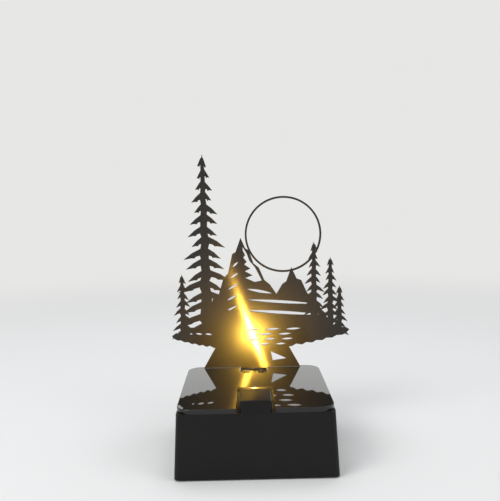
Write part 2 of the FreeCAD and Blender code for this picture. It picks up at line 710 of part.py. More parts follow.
# The ridge from its left foot to its right foot: distance from the summit, and height as a share
# of the summit's height over the ground.
RIDGE = (
    (-33.0, 0.00), (-27.0, 0.12), (-22.0, 0.31), (-17.5, 0.36), (-13.5, 0.55), (-10.0, 0.60),
    (-6.5, 0.82), (-4.0, 0.84), (0.0, 1.00), (3.5, 0.88), (6.0, 0.86), (9.5, 0.71), (13.5, 0.66),
    (17.5, 0.52), (21.5, 0.47), (26.5, 0.36), (31.0, 0.47), (34.0, 0.50), (38.0, 0.66),
    (42.0, 0.53), (45.5, 0.51), (50.0, 0.36), (56.0, 0.30), (62.0, 0.14), (69.0, 0.00),
)


def ridge_outline(d):
    line = value_of(d.ground_height)
    rise = value_of(d.peak_height) - line
    top = [(value_of(d.peak_place) + run, line + share * rise) for run, share in RIDGE]
    return top + [(top[-1][0], line - 3.0), (top[0][0], line - 3.0)]


def flank_at(level, d, side):
    """Where the ridge's outline crosses some height, on the summit's left (-1) or right (1)."""
    line = value_of(d.ground_height)
    share = (level - line) / (value_of(d.peak_height) - line)
    run = RIDGE if side > 0 else RIDGE[::-1]
    after = run[[place for place, _ in run].index(0.0):]
    for (x0, high), (x1, low) in zip(after, after[1:]):
        if low <= share <= high:
            return value_of(d.peak_place) + x0 + (x1 - x0) * (high - share) / (high - low)
    raise ValueError(f"the ridge does not reach {level}")


def snow_field(d, top, bottom, teeth):
    """An opening down the summit's right side: it keeps a margin from the ridge, and its other edge
    zigzags down and outwards like the lower edge of snow."""
    margin = 2.4
    run = [top + (bottom - top) * i / teeth for i in range(teeth + 1)]
    outer = [(flank_at(level, d, 1) - margin, level) for level in run[1:]]
    inner = []
    for i, level in enumerate(run[:0:-1]):
        start = value_of(d.peak_place) + 1.2
        wide = flank_at(level, d, 1) - margin - start
        inner.append((start + 0.62 * wide, level - 1.0))
        inner.append((start + 0.12 * wide, level + 0.45 * (top - bottom) / teeth))
    return [(flank_at(top, d, 1) - 0.6 * margin, top)] + outer + inner


def add_stroke(sketch, start, end, breadth):
    """A leaf-shaped slit between two points: two arcs that meet in a point at each end."""
    along = Vector(end[0] - start[0], end[1] - start[1], 0)
    across = Vector(-along.y, along.x, 0).normalize() * (breadth / 2)
    first = Vector(*start, 0)
    last = Vector(*end, 0)
    middle = (first + last) * 0.5
    sketch.addGeometry(Part.Arc(first, middle + across, last), False)
    sketch.addGeometry(Part.Arc(last, middle - across, first), False)


def ground_outline(d):
    """Flared foot, neck, and the ground with a stepped underside and a rolling top."""
    neck = value_of(d.neck_height)
    left = -value_of(d.ground_left)
    right = value_of(d.ground_right)
    line = value_of(d.ground_height)
    neck_left = -value_of(d.neck_left)
    neck_right = value_of(d.neck_right)
    gap = value_of(d.panel_gap)
    points = [(-value_of(d.foot_left), gap), (value_of(d.foot_right), gap), (neck_right, neck)]
    steps = 6
    for i in range(steps):
        part = (i + 0.5) / steps
        x = neck_right + part * (right - neck_right)
        points.append((x - 1.5, neck + 9.5 * part ** 1.4))
        points.append((x + 1.8, neck + 9.5 * part ** 1.4 + 1.9))
    points += [(right, neck + 12.5), (right - 2.0, neck + 14.0)]
    rolls = 12
    for i in range(1, rolls):
        x = right + (left - right) * i / rolls
        points.append((x, line + 1.6 * math.sin(0.11 * x + 0.8) - 0.0009 * x * x))
    points += [(left + 2.0, neck + 11.5), (left, neck + 10.0)]
    for i in range(steps - 1, -1, -1):
        part = (i + 0.5) / steps
        x = neck_left + part * (left - neck_left)
        points.append((x - 1.6, neck + 7.5 * part ** 1.4 + 1.7))
        points.append((x + 1.4, neck + 7.5 * part ** 1.4))
    points.append((neck_left, neck))
    return points


def fir_groups(d):
    """The firs in two lots, so that none crosses another of its own lot. The ring's fir stands
    where the ring's right side comes down, and carries it."""
    line = value_of(d.ground_height)
    ring_x = value_of(d.moon_place) + 0.82 * value_of(d.moon_radius)
    left = -value_of(d.ground_left)
    right = value_of(d.ground_right)
    tall = fir_outline(value_of(d.fir_place), line - 3.0, value_of(d.fir_height),
                       value_of(d.fir_reach), 16, FULL_BRANCH, 0.4)
    ring = fir_outline(ring_x, line - 3.0, value_of(d.ring_fir_height), 11.5, 11, PLAIN_BRANCH, 1.2)
    near = fir_outline(ring_x + 12.5, line - 4.0, value_of(d.near_fir_height), 9.5, 10, PLAIN_BRANCH, 3.0)
    last = fir_outline(right - 7.5, line - 7.0, value_of(d.last_fir_height), 6.6, 7, PLAIN_BRANCH, 0.9)
    first = fir_outline(left + 9.0, line - 7.0, value_of(d.first_fir_height), 8.6, 8, PLAIN_BRANCH, 2.1)
    return {"front_firs": (tall, ring, last), "back_firs": (first, near)}


def make_panel(doc, d):
    body = new_body(doc, "silhouette_panel")
    thick = d.panel_thickness
    ground = panel_sketch(body, "ground_plan", d)
    free_outline(ground, ground_outline(d))
    pad(body, "ground", ground, thick, reverse=True)
    add_bent_foot(body, d)
    ridge = panel_sketch(body, "ridge_plan", d)
    free_outline(ridge, ridge_outline(d))
    pad(body, "ridge", ridge, thick, reverse=True)
    moon = panel_sketch(body, "moon_plan", d)
    circle(moon, d.moon_place, d.moon_height, d.moon_radius + d.moon_line / 2)
    circle(moon, d.moon_place, d.moon_height, d.moon_radius - d.moon_line / 2)
    pad(body, "moon_ring", moon, thick, reverse=True)
    add_panel_cuts(body, d)
    for name, outlines in fir_groups(d).items():
        plan = panel_sketch(body, f"{name}_plan", d)
        for points in outlines:
            free_outline(plan, points)
        pad(body, name, plan, thick, reverse=True)
    return body


def add_panel_cuts(body, d):
    """Slits for snow, lake and ground, and one window in the flared foot."""
    line = value_of(d.ground_height)
    summit_x = value_of(d.peak_place)
    summit_z = value_of(d.peak_height)
    neck = value_of(d.neck_height)
    cuts = panel_sketch(body, "slit_plan", d)
    rows = 7
    fall = (summit_z - line - 10.0) / rows
    free_outline(cuts, snow_field(d, summit_z - 7.0, summit_z - 33.0, 5))
    for i in range(4, rows):
        level = summit_z - 6.0 - fall * i
        start = (summit_x + 2.4 + 1.2 * math.sin(1.9 * i), level)
        drop = 2.6 + 0.35 * i
        add_stroke(cuts, start, (flank_at(level - drop, d, 1) - 2.6, level - drop), 1.5 + 0.2 * i)
    for i in range(1, rows - 1):
        level = summit_z - 10.0 - fall * i
        add_stroke(cuts, (summit_x - 2.2, level), (summit_x - 4.4 - 2.0 * i, level - 3.4 - 0.5 * i), 1.5)
    for row in range(4):
        level = line - 3.2 - 3.9 * row
        count = 3 - row % 2
        width = 12.5 - 1.3 * row
        for i in range(count):
            x = 15.0 + (i - (count - 1) / 2) * (width + 3.4) + 2.4 * math.sin(2.1 * row)
            add_stroke(cuts, (x - width / 2, level), (x + width / 2, level + 0.4), 1.8)
    for i in range(4):
        x = -31.0 - 7.4 * i
        add_stroke(cuts, (x, line - 6.5 + 0.4 * i), (x - 5.6, line - 5.6 + 0.4 * i), 1.6)
    edge = value_of(d.neck_right)
    free_outline(cuts, ((edge - 14.0, neck - 3.5), (edge - 1.5, neck - 9.5), (edge - 12.5, neck - 11.0)))
    pocket(body, "slits", cuts, d.panel_thickness)


def add_bent_foot(body, d):
    """The tongue runs down through the sheet's notch and bends forward onto the deck."""
    lean = math.radians(value_of(d.panel_lean))
    thick = value_of(d.panel_thickness)
    inner = value_of(d.bend_radius)
    deck = value_of(d.deck_top)
    end = value_of(d.flange_end)
    up = Vector(-math.sin(lean), math.cos(lean), 0)
    back = Vector(math.cos(lean), math.sin(lean), 0)
    down = Vector(0, -1, 0)
    face = Vector(value_of(d.panel_y), value_of(d.sheet_top), 0)
    centre_z = deck + thick + inner
    centre_y = face.x + (-inner - (centre_z - face.y) * math.sin(lean)) / math.cos(lean)
    centre = Vector(centre_y, centre_z, 0)
    between = (back + down).normalize()
    front_top = face + up
    inside = [centre + direction * inner for direction in (back, between, down)]
    outside = [centre + direction * (inner + thick) for direction in (back, between, down)]
    profile = sketch_on(body, "bend_profile", "YZ_Plane")
    profile.addGeometry([
        Part.LineSegment(front_top, front_top + back * thick),
        Part.LineSegment(front_top + back * thick, outside[0]),
        Part.Arc(outside[0], outside[1], outside[2]),
        Part.LineSegment(outside[2], Vector(end, deck, 0)),
        Part.LineSegment(Vector(end, deck, 0), Vector(end, deck + thick, 0)),
        Part.LineSegment(Vector(end, deck + thick, 0), inside[2]),
        Part.Arc(inside[2], inside[1], inside[0]),
        Part.LineSegment(inside[0], front_top),
    ], False)
    pad(body, "bent_foot", profile, d.tongue_width, middle=True)
    holes = sketch_on(body, "foot_hole_plan", "XY_Plane", d.deck_top + d.panel_thickness)
    hole_radius = d.panel_screw_shank + d.screw_clearance
    for side in (-1, 1):
        circle(holes, side * d.panel_screw_spacing / 2, d.panel_screw_y, hole_radius)
    pocket(body, "foot_holes", holes, d.panel_thickness)


def make_panel_screws(doc, d):
    screws = []
    for side in (-1, 1):
        screw = cheese_screw(doc, f"panel_screw_{'left' if side < 0 else 'right'}", d.panel_screw_head,
                             d.panel_screw_head_height, d.panel_screw_shank, d.panel_screw_length)
        place(screw, side * d.panel_screw_spacing / 2, d.panel_screw_y, d.deck_top + d.panel_thickness,
              Vector(1, 0, 0), 180.0)
        screws.append(screw)
    return group(doc, "panel_screws", screws)


# Light: a hollow hood in the front notch, with a small lamp, its board and its resistor inside.


def light_places(d):
    """Places inside and under the hood, all from its own sizes."""
    d.hood_back = d.front_y + d.hood_length
    d.hood_height = d.sheet_thickness + d.hood_rise
    d.hood_post_x = d.hood_width / 2 - d.hood_wall - d.hood_post_gap - d.hood_post_radius
    d.hood_post_y = d.front_y + d.wall + d.screw_head_gap + d.hood_screw_head
    d.tab_x = d.hood_width / 2 - d.hood_wall
    d.tab_back = d.hood_back - d.hood_tab_inset
    d.tab_front = d.tab_back - d.hood_tab_length
    d.board_back = d.hood_back - d.hood_wall - d.board_gap
    d.board_front = d.board_back - d.board_length
    d.wire_y = d.board_front + d.wire_inset
    d.led_window_y = d.hood_back - d.hood_wall / 2
    d.led_base_y = d.led_window_y - d.led_inset * cosine(d.led_tilt)
    d.led_base_z = d.deck_top + d.led_height - d.led_inset * sine(d.led_tilt)
    d.leg_y = d.led_base_y - d.leg_run
    d.resistor_y = d.wire_y + d.resistor_gap


def make_hood(doc, d):
    body = new_body(doc, "led_hood")
    half = d.hood_width / 2
    plan = sketch_on(body, "hood_plan", "XY_Plane", d.deck_top)
    rounded_rectangle(plan, -half, half, d.front_y, d.hood_back, d.hood_edge)
    pad(body, "hood_block", plan, d.hood_height)
    fillet(body, "hood_top_edges", d.hood_round, level_at(d.deck_top + d.hood_height))
    inside = sketch_on(body, "hood_inside", "XY_Plane", d.deck_top)
    inner = half - d.hood_wall
    rectangle(inside, -inner, inner, d.front_y + d.hood_wall, d.hood_back - d.hood_wall)
    pocket(body, "hood_hollow", inside, d.hood_height - d.hood_wall, reverse=True)
    posts = sketch_on(body, "hood_post_plan", "XY_Plane", d.deck_top)
    pilots = sketch_on(body, "hood_pilot_plan", "XY_Plane", d.deck_top)
    tabs = sketch_on(body, "hood_tab_plan", "XY_Plane", d.deck_top)
    for side in (-1, 1):
        circle(posts, side * d.hood_post_x, d.hood_post_y, d.hood_post_radius)
        circle(pilots, side * d.hood_post_x, d.hood_post_y, d.hood_screw_shank + d.pin_clearance)
        ends = sorted((side * d.tab_x, side * (d.tab_x + d.hood_wall)), key=value_of)
        rectangle(tabs, ends[0], ends[1], d.tab_front, d.tab_back)
    pad(body, "hood_posts", posts, d.hood_height - d.hood_wall)
    pocket(body, "hood_pilots", pilots, d.hood_height - d.hood_wall - d.pilot_end, reverse=True)
    pad(body, "hood_tabs", tabs, d.hood_tab_depth, reverse=True)
    window = body.newObject("PartDesign::SubtractiveCylinder", "hood_window")
    reach = 1.5 * d.hood_wall
    bind(window, "Radius", d.led_radius + d.window_clearance)
    bind(window, "Height", 2.0 * reach)
    place(window, 0.0, d.led_window_y - reach * cosine(d.led_tilt),
          d.deck_top + d.led_height - reach * sine(d.led_tilt), Vector(-1, 0, 0), 90.0 - d.led_tilt)
    doc.recompute()
    return body


def make_hood_screws(doc, d):
    screws = []
    for side in (-1, 1):
        screw = cheese_screw(doc, f"hood_screw_{'left' if side < 0 else 'right'}", d.hood_screw_head,
                             d.hood_screw_head_height, d.hood_screw_shank, d.hood_screw_length)
        place(screw, side * d.hood_post_x, d.hood_post_y, d.deck_under)
        screws.append(screw)
    return group(doc, "hood_screws", screws)


def make_board(doc, d):
    body = new_body(doc, "led_board")
    plan = sketch_on(body, "board_plan", "XY_Plane", d.deck_top)
    half = d.board_width / 2
    rectangle(plan, -half, half, d.board_front, d.board_back)
    pad(body, "board", plan, d.board_thickness)
    holes = sketch_on(body, "board_hole_plan", "XY_Plane", d.deck_top + d.board_thickness)
    for side in (-1, 1):
        circle(holes, side * d.leg_pitch / 2, d.leg_y, d.leg_hole)
    pocket(body, "board_holes", holes, d.board_thickness)
    return body


def make_lamp(doc, d):
    """Collar, barrel and dome, fused, then aimed back and up."""
    collar = doc.addObject("Part::Cylinder", "lamp_collar")
    bind(collar, "Radius", d.led_flange)
    bind(collar, "Height", d.led_collar)
    barrel = doc.addObject("Part::Cylinder", "lamp_barrel")
    bind(barrel, "Radius", d.led_radius)
    bind(barrel, "Height", d.led_length - d.led_radius)
    dome = doc.addObject("Part::Sphere", "lamp_dome")
    bind(dome, "Radius", d.led_radius)
    place(dome, z=d.led_length - d.led_radius)
    lamp = doc.addObject("Part::MultiFuse", "led_lamp")
    lamp.Shapes = [collar, barrel, dome]
    lamp.Refine = True
    place(lamp, 0.0, d.led_base_y, d.led_base_z, Vector(-1, 0, 0), 90.0 - d.led_tilt)
    doc.recompute()
    return lamp


def make_lamp_leads(doc, d):
    """Two square legs that leave the collar in line with the lamp and bend down to the board."""
    tilt = math.radians(value_of(d.led_tilt))
    half = value_of(d.leg_size) / 2
    base = Vector(value_of(d.led_base_y), value_of(d.led_base_z), 0)
    ahead = Vector(math.cos(tilt), math.sin(tilt), 0)
    above = Vector(-math.sin(tilt), math.cos(tilt), 0) * half
    low = value_of(d.deck_top + d.leg_end)
    front = value_of(d.leg_y) - half
    back = value_of(d.leg_y) + half
    upper = base - ahead * ((base.x - front) / ahead.x) + above
    lower = base - ahead * ((base.x - back) / ahead.x) - above
    corners = (base + above, upper, Vector(front, low, 0), Vector(back, low, 0), lower, base - above)
    legs = []
    for side in (-1, 1):
        leg = new_body(doc, f"lamp_leg_{'left' if side < 0 else 'right'}")
        profile = sketch_on(leg, f"{leg.Label}_profile", "YZ_Plane", side * d.leg_pitch / 2)
        free_outline(profile, [(corner.x, corner.y) for corner in corners])
        pad(leg, f"{leg.Label}_wire", profile, d.leg_size, middle=True)
        legs.append(leg)
    return group(doc, "led_leads", legs)


def make_resistor(doc, d):
    """A surface-mounted chip across the board: a slim body between two slightly proud end caps."""
    body = new_body(doc, "led_resistor")
    level = d.deck_top + d.board_thickness
    half = d.chip_length / 2
    chip = sketch_on(body, "chip_plan", "XY_Plane", level)
    rectangle(chip, -half, half, d.resistor_y - d.chip_width / 2, d.resistor_y + d.chip_width / 2)
    pad(body, "chip", chip, d.chip_height)
    caps = sketch_on(body, "cap_plan", "XY_Plane", level)
    outer = half + d.chip_proud
    across = d.chip_width / 2 + d.chip_proud
    for left, right in ((-outer, d.chip_cap - outer), (outer - d.chip_cap, outer)):
        rectangle(caps, left, right, d.resistor_y - across, d.resistor_y + across)
    pad(body, "end_caps", caps, d.chip_height + d.chip_proud)
    return body


# Battery bay: three AAA cells side by side, in series, between sprung contact plates.


def bay_places(d):
    """The bay's inside, the cells' axes and the door's hinge line."""
    d.cell_pitch = d.cell_diameter + d.cell_gap
    d.bay_half_y = 1.5 * d.cell_diameter + 2.0 * d.cell_gap
    d.bay_half_x = (d.cell_length + d.spring_room + 2.0 * d.plate_thickness + d.bump) / 2
    d.ledge_z = d.foot_standoff + d.door_thickness + d.door_headroom
    d.cell_z = d.foot_standoff + d.door_thickness + d.cell_clearance + d.cell_diameter / 2
    d.bay_ceiling = d.cell_z + d.cell_diameter / 2 + d.bay_headroom
    d.bay_top = d.bay_ceiling + d.bay_wall
    d.recess_x = d.bay_half_x + d.bay_lip
    d.recess_y = d.bay_half_y + d.bay_lip
    d.hinge_z = d.foot_standoff + d.door_thickness / 2
    d.hinge_y = d.recess_y - d.door_clearance - d.door_thickness / 2
    d.tab_top = d.bay_top + d.tab_rise
    d.plate_high = d.bay_ceiling - d.plate_headroom
    d.plate_low = d.ledge_z + d.plate_foot


def cell_y(d, index):
    """The axis of cell 0, 1 or 2, counted from the back."""
    return (1 - index) * d.cell_pitch


def make_cover(doc, d):
    body = new_body(doc, "bottom_cover")
    plan = sketch_on(body, "cover_plan", "XY_Plane", d.foot_standoff)
    half_x = d.rim_half_x - d.wall - d.cover_clearance
    half_y = d.rim_half_y - d.wall - d.cover_clearance
    rectangle(plan, -half_x, half_x, -half_y, half_y)
    pad(body, "cover_plate", plan, d.cover_thickness)
    draft_walls(body, "cover_draft", d.draft_angle, d.foot_standoff, d.cover_thickness)
    fillet(body, "cover_corners", d.inner_radius - d.cover_clearance, climbing_by(d.cover_thickness))

    frame = sketch_on(body, "frame_plan", "XY_Plane", d.cover_top)
    frame_x = d.recess_x + d.bay_wall
    frame_y = d.recess_y + d.bay_wall
    rectangle(frame, -frame_x, frame_x, -frame_y, frame_y)
    pad(body, "frame", frame, d.bay_frame)
    box = sketch_on(body, "bay_plan", "XY_Plane", d.cover_top)
    box_x = d.bay_half_x + d.bay_wall
    box_y = d.bay_half_y + d.bay_wall
    rectangle(box, -box_x, box_x, -box_y, box_y)
    pad(body, "bay_block", box, d.bay_top - d.cover_top)

    recess = sketch_on(body, "recess_plan", "XY_Plane", d.foot_standoff)
    rectangle(recess, -d.recess_x, d.recess_x, -d.recess_y, d.recess_y)
    pocket(body, "door_recess", recess, d.ledge_z - d.foot_standoff, reverse=True)
    hollow = sketch_on(body, "bay_inside", "XY_Plane", d.ledge_z)
    rectangle(hollow, -d.bay_half_x, d.bay_half_x, -d.bay_half_y, d.bay_half_y)
    pocket(body, "bay_hollow", hollow, d.bay_ceiling - d.ledge_z, reverse=True)
    ridges = sketch_on(body, "ridge_plan", "XY_Plane", d.bay_ceiling)
    ridge_x = d.bay_half_x - d.spring_room
    for side in (-1, 1):
        middle = side * d.cell_pitch / 2
        rectangle(ridges, -ridge_x, ridge_x, middle - d.ridge_width / 2, middle + d.ridge_width / 2)
    pad(body, "cell_ridges", ridges, d.ridge_depth, reverse=True)

    slots = sketch_on(body, "tab_slot_plan", "XY_Plane", d.bay_top)
    slot_x = d.plate_thickness / 2 + d.tab_slot_clearance
    slot_y = d.tab_width / 2 + d.tab_slot_clearance
    for side, index in ((1, 0), (-1, 2)):
        x = side * (d.bay_half_x - d.plate_thickness / 2)
        rectangle(slots, x - slot_x, x + slot_x, cell_y(d, index) - slot_y, cell_y(d, index) + slot_y)
    pocket(body, "tab_slots", slots, d.bay_wall)
    sockets = sketch_on(body, "socket_plan", "YZ_Plane")
    circle(sockets, d.hinge_y, d.hinge_z, d.pin_radius + d.pin_clearance)
    pocket(body, "hinge_sockets", sockets, 2.0 * (d.recess_x + d.pin_length), middle=True)

    under = sketch_on(body, "counterbore_plan", "XY_Plane", d.foot_standoff)
    holes = sketch_on(body, "screw_hole_plan", "XY_Plane", d.foot_standoff)
    for sx, sy in signs():
        circle(under, sx * d.post_x, sy * d.post_y, d.cover_screw_head + d.screw_clearance)
        circle(holes, sx * d.post_x, sy * d.post_y, d.cover_screw_shank + d.screw_clearance)
    pocket(body, "counterbores", under, d.counterbore, reverse=True)
    pocket(body, "screw_holes", holes, d.cover_thickness, reverse=True)
    scoop = sketch_on(body, "scoop_plan", "XY_Plane", d.foot_standoff)
    circle(scoop, 0.0, -d.recess_y, d.scoop_radius)
    pocket(body, "finger_scoop", scoop, d.scoop_depth, reverse=True)
    return body


def make_door(doc, d):
    """A plate with a rounded hinge edge, two moulded pins and a spring tongue to lift it by."""
    body = new_body(doc, "battery_door")
    half_x = d.recess_x - d.door_clearance
    front = -(d.recess_y - d.door_clearance)
    profile = sketch_on(body, "door_profile", "YZ_Plane")
    rectangle(profile, front, d.hinge_y, d.foot_standoff, d.foot_standoff + d.door_thickness)
    pad(body, "door_plate", profile, 2.0 * half_x, middle=True)
    edge = sketch_on(body, "door_edge_profile", "YZ_Plane")
    circle(edge, d.hinge_y, d.hinge_z, d.door_thickness / 2)
    pad(body, "hinge_edge", edge, 2.0 * half_x, middle=True)
    pins = sketch_on(body, "door_pin_profile", "YZ_Plane")
    circle(pins, d.hinge_y, d.hinge_z, d.pin_radius)
    pad(body, "hinge_pins", pins, 2.0 * (d.recess_x + d.pin_length - d.pin_end), middle=True)
    slots = sketch_on(body, "latch_slot_plan", "XY_Plane", d.foot_standoff)
    for side in (-1, 1):
        near = side * d.latch_width / 2
        left, right = sorted((near, near + side * d.latch_slot), key=value_of)
        rectangle(slots, left, right, front - d.latch_slot, front + d.latch_length)
    pocket(body, "latch_slots", slots, d.door_thickness, reverse=True)
    grips = sketch_on(body, "grip_plan", "XY_Plane", d.foot_standoff)
    for i in range(3):
        low = front + d.grip_pitch * (i + 1.0)
        rectangle(grips, -d.grip_width / 2, d.grip_width / 2, low, low + d.grip_bar)
    pad(body, "grips", grips, d.grip_rise, reverse=True)
    return body


def make_cell(doc, d, index):
    radius = d.cell_diameter / 2
    shoulder = d.cell_length - d.nub_height
    cell = turned(doc, f"battery_{index + 1}", (
        (0, 0), (radius, 0), (radius, shoulder),
        (d.nub_radius, shoulder), (d.nub_radius, d.cell_length), (0, d.cell_length)))
    side = 1 if index % 2 == 0 else -1
    x = -side * (d.bay_half_x - d.plate_thickness - d.spring_room)
    place(cell, x, cell_y(d, index), d.cell_z, Vector(0, 1, 0), side * 90.0)
    return cell


def make_contact(doc, d, name, side, poles, tab=None):
    """A plate against one end of the bay.

    poles pairs a cell's index with "plus", which gets a button, or "minus", which gets a bowed
    leaf spring. tab is the cell whose plate carries a solder tab up through the bay's ceiling.
    """
    body = new_body(doc, name)
    half = d.cell_diameter / 2 - d.plate_margin
    rows = [cell_y(d, index) for index, _ in poles]
    low_y = min(rows, key=value_of) - half
    high_y = max(rows, key=value_of) + half
    wall_x = side * d.bay_half_x
    face_x = side * (d.bay_half_x - d.plate_thickness)
    corners = [(low_y, d.plate_low), (high_y, d.plate_low), (high_y, d.plate_high)]
    if tab is not None:
        left = cell_y(d, tab) - d.tab_width / 2
        right = cell_y(d, tab) + d.tab_width / 2
        corners += [(right, d.plate_high), (right, d.tab_top), (left, d.tab_top), (left, d.plate_high)]
    corners.append((low_y, d.plate_high))
    plate = sketch_on(body, f"{name}_plate", "YZ_Plane", wall_x)
    outline(plate, corners)
    pad(body, f"{name}_sheet", plate, d.plate_thickness, reverse=side > 0)
    for index, pole in poles:
        y = cell_y(d, index)
        if pole == "plus":
            button = sketch_on(body, f"{name}_button_plan", "YZ_Plane", face_x)
            circle(button, y, d.cell_z, d.bump_radius)
            pad(body, f"{name}_button", button, d.bump, reverse=side > 0)
        else:
            add_leaf(body, d, name, side, y)
    return body


def add_leaf(body, d, name, side, y):
    """A strip that leaves the plate low down, bows out to the cell and comes back above."""
    face = value_of(d.bay_half_x - d.plate_thickness)
    root = face + value_of(d.leaf_root)
    free = face - value_of(d.leaf_lift)
    peak = face - value_of(d.spring_room - d.leaf_gap)
    strip = value_of(d.leaf_thickness)
    slant = 1.5 * strip
    low = value_of(d.plate_low + d.leaf_inset)
    middle = value_of(d.cell_z)
    high = 2.0 * middle - low
    outer = ((root, low), (peak, middle), (free, high))
    inner = ((root, low + slant), (peak + strip, middle), (free, high - slant))
    start, top, end = (Vector(side * x, z, 0) for x, z in outer)
    inner_start, inner_top, inner_end = (Vector(side * x, z, 0) for x, z in inner)
    profile = sketch_on(body, f"{name}_leaf_profile", "XZ_Plane", -y)
    profile.addGeometry([
        Part.Arc(start, top, end),
        Part.LineSegment(end, inner_end),
        Part.Arc(inner_end, inner_top, inner_start),
        Part.LineSegment(inner_start, start),
    ], False)
    pad(body, f"{name}_leaf", profile, d.leaf_width, middle=True)


def make_cover_screws(doc, d):
    screws = []
    for number, (sx, sy) in enumerate(signs(), start=1):
        screw = cheese_screw(doc, f"cover_screw_{number}", d.cover_screw_head,
                             d.cover_screw_head_height, d.cover_screw_shank, d.cover_screw_length)
        place(screw, sx * d.post_x, sy * d.post_y, d.foot_standoff + d.counterbore)
        screws.append(screw)
    return group(doc, "cover_screws", screws)


def make_feet(doc, d):
    feet = []
    radius = d.foot_pad_radius
    for number, (sx, sy) in enumerate(signs(), start=1):
        foot = turned(doc, f"foot_{number}", (
            (0, 0), (radius, 0), (radius, d.foot_standoff), (0, d.foot_standoff)))
        place(foot, sx * d.foot_pad_side, sy * (d.base_depth / 2 - d.foot_pad_inset))
        feet.append(foot)
    return group(doc, "rubber_feet", feet)


# Switch: a small rocker switch on a seat in the back wall. Its outward direction is +Y.


def switch_places(d):
    d.seat_y = d.back_y - d.switch_recess
    d.pivot_y = d.seat_y - d.rocker_depth
    d.body_back = d.seat_y - d.body_depth
    d.blade_offset = d.body_height / 4
    d.blade_end = d.body_back - d.blade_length


def make_switch_body(doc, d):
    body = new_body(doc, "switch_body")
    x0 = d.switch_side
    z0 = d.switch_height
    case = sketch_on(body, "case_plan", "XZ_Plane", -d.seat_y)
    case_x = d.body_width / 2
    case_z = d.body_height / 2
    rectangle(case, x0 - case_x, x0 + case_x, z0 - case_z, z0 + case_z)
    pad(body, "case", case, d.body_depth)
    bezel = sketch_on(body, "bezel_plan", "XZ_Plane", -d.seat_y)
    rounded_rectangle(bezel, x0 - d.bezel_width / 2, x0 + d.bezel_width / 2,
                      z0 - d.bezel_height / 2, z0 + d.bezel_height / 2, d.bezel_corner)
    pad(body, "bezel", bezel, d.bezel_thickness, reverse=True)
    outer_y = value_of(d.seat_y + d.bezel_thickness)
    chamfer(body, "bezel_edges", d.bezel_chamfer,
            lambda edge: abs(edge.BoundBox.YMin - outer_y) < 1e-4 and abs(edge.BoundBox.YMax - outer_y) < 1e-4)
    well = sketch_on(body, "well_plan", "XZ_Plane", -(d.seat_y + d.bezel_thickness))
    half_x = d.rocker_width / 2 + d.rocker_clearance
    half_z = d.rocker_radius + d.rocker_clearance
    rectangle(well, x0 - half_x, x0 + half_x, z0 - half_z, z0 + half_z)
    pocket(body, "well", well, d.bezel_thickness + d.body_depth - d.body_floor, reverse=True)
    bores = sketch_on(body, "pivot_plan", "YZ_Plane", x0)
    circle(bores, d.pivot_y, z0, d.rocker_pin + d.pin_clearance)
    pocket(body, "pivot_bores", bores, d.body_width, middle=True)
    wings = sketch_on(body, "wing_profile", "YZ_Plane", x0)
    catch_y = d.seat_y - d.wall - d.wing_clearance
    for side in (-1, 1):
        edge = z0 + side * d.body_height / 2
        root = edge - side * d.wing_root
        tip = edge + side * d.wing_rise
        outline(wings, ((catch_y, root), (catch_y, tip), (catch_y - d.wing_length, root)))
    pad(body, "snap_wings", wings, d.wing_width, middle=True)
    return body


def make_rocker(doc, d):
    """Two finger facets that meet in a dip, ends round about the pivot, and stub pins.

    It is drawn level and then tipped by half its swing into the on position.
    """
    body = new_body(doc, "switch_rocker")
    radius = value_of(d.rocker_radius)
    crown = value_of(d.rocker_crown)
    skirt = -value_of(d.rocker_skirt)
    keel = -value_of(d.rocker_keel)
    keel_half = value_of(d.rocker_keel_width) / 2
    shoulder = math.sqrt(radius ** 2 - crown ** 2)
    waist = math.sqrt(radius ** 2 - skirt ** 2)
    dip = Vector(value_of(d.rocker_dip), 0, 0)
    upper_crown, lower_crown = (Vector(crown, side * shoulder, 0) for side in (1, -1))
    upper_skirt, lower_skirt = (Vector(skirt, side * waist, 0) for side in (1, -1))
    upper_keel, lower_keel = (Vector(keel, side * keel_half, 0) for side in (1, -1))
    profile = sketch_on(body, "rocker_profile", "YZ_Plane")
    profile.addGeometry([
        Part.LineSegment(dip, upper_crown),
        Part.Arc(upper_crown, Vector(0, radius, 0), upper_skirt),
        Part.LineSegment(upper_skirt, upper_keel),
        Part.LineSegment(upper_keel, lower_keel),
        Part.LineSegment(lower_keel, lower_skirt),
        Part.Arc(lower_skirt, Vector(0, -radius, 0), lower_crown),
        Part.LineSegment(lower_crown, dip),
    ], False)
    pad(body, "rocker_block", profile, d.rocker_width, middle=True)
    pins = sketch_on(body, "rocker_pin_profile", "YZ_Plane")
    circle(pins, 0.0, 0.0, d.rocker_pin)
    pad(body, "rocker_pins", pins, d.body_width - 2.0 * d.pin_clearance, middle=True)
    place(body, d.switch_side, d.pivot_y, d.switch_height, Vector(1, 0, 0), d.rocker_swing / 2)
    doc.recompute()
    return body


def make_terminals(doc, d):
    blades = []
    for number, side in enumerate((-1, 1), start=1):
        blade = new_body(doc, f"terminal_{number}")
        middle = d.switch_height + side * d.blade_offset
        plan = sketch_on(blade, f"terminal_{number}_plan", "XY_Plane", middle - d.blade_thickness / 2)
        half = d.blade_width / 2
        rectangle(plan, d.switch_side - half, d.switch_side + half, d.blade_end, d.body_back)
        circle(plan, d.switch_side, d.blade_end + d.eye_inset, d.blade_eye)
        pad(blade, f"terminal_{number}_blade", plan, d.blade_thickness)
        blades.append(blade)
    return group(doc, "switch_terminals", blades)


# Wires: each runs from one solder point to the next through straight runs and tangent arcs.


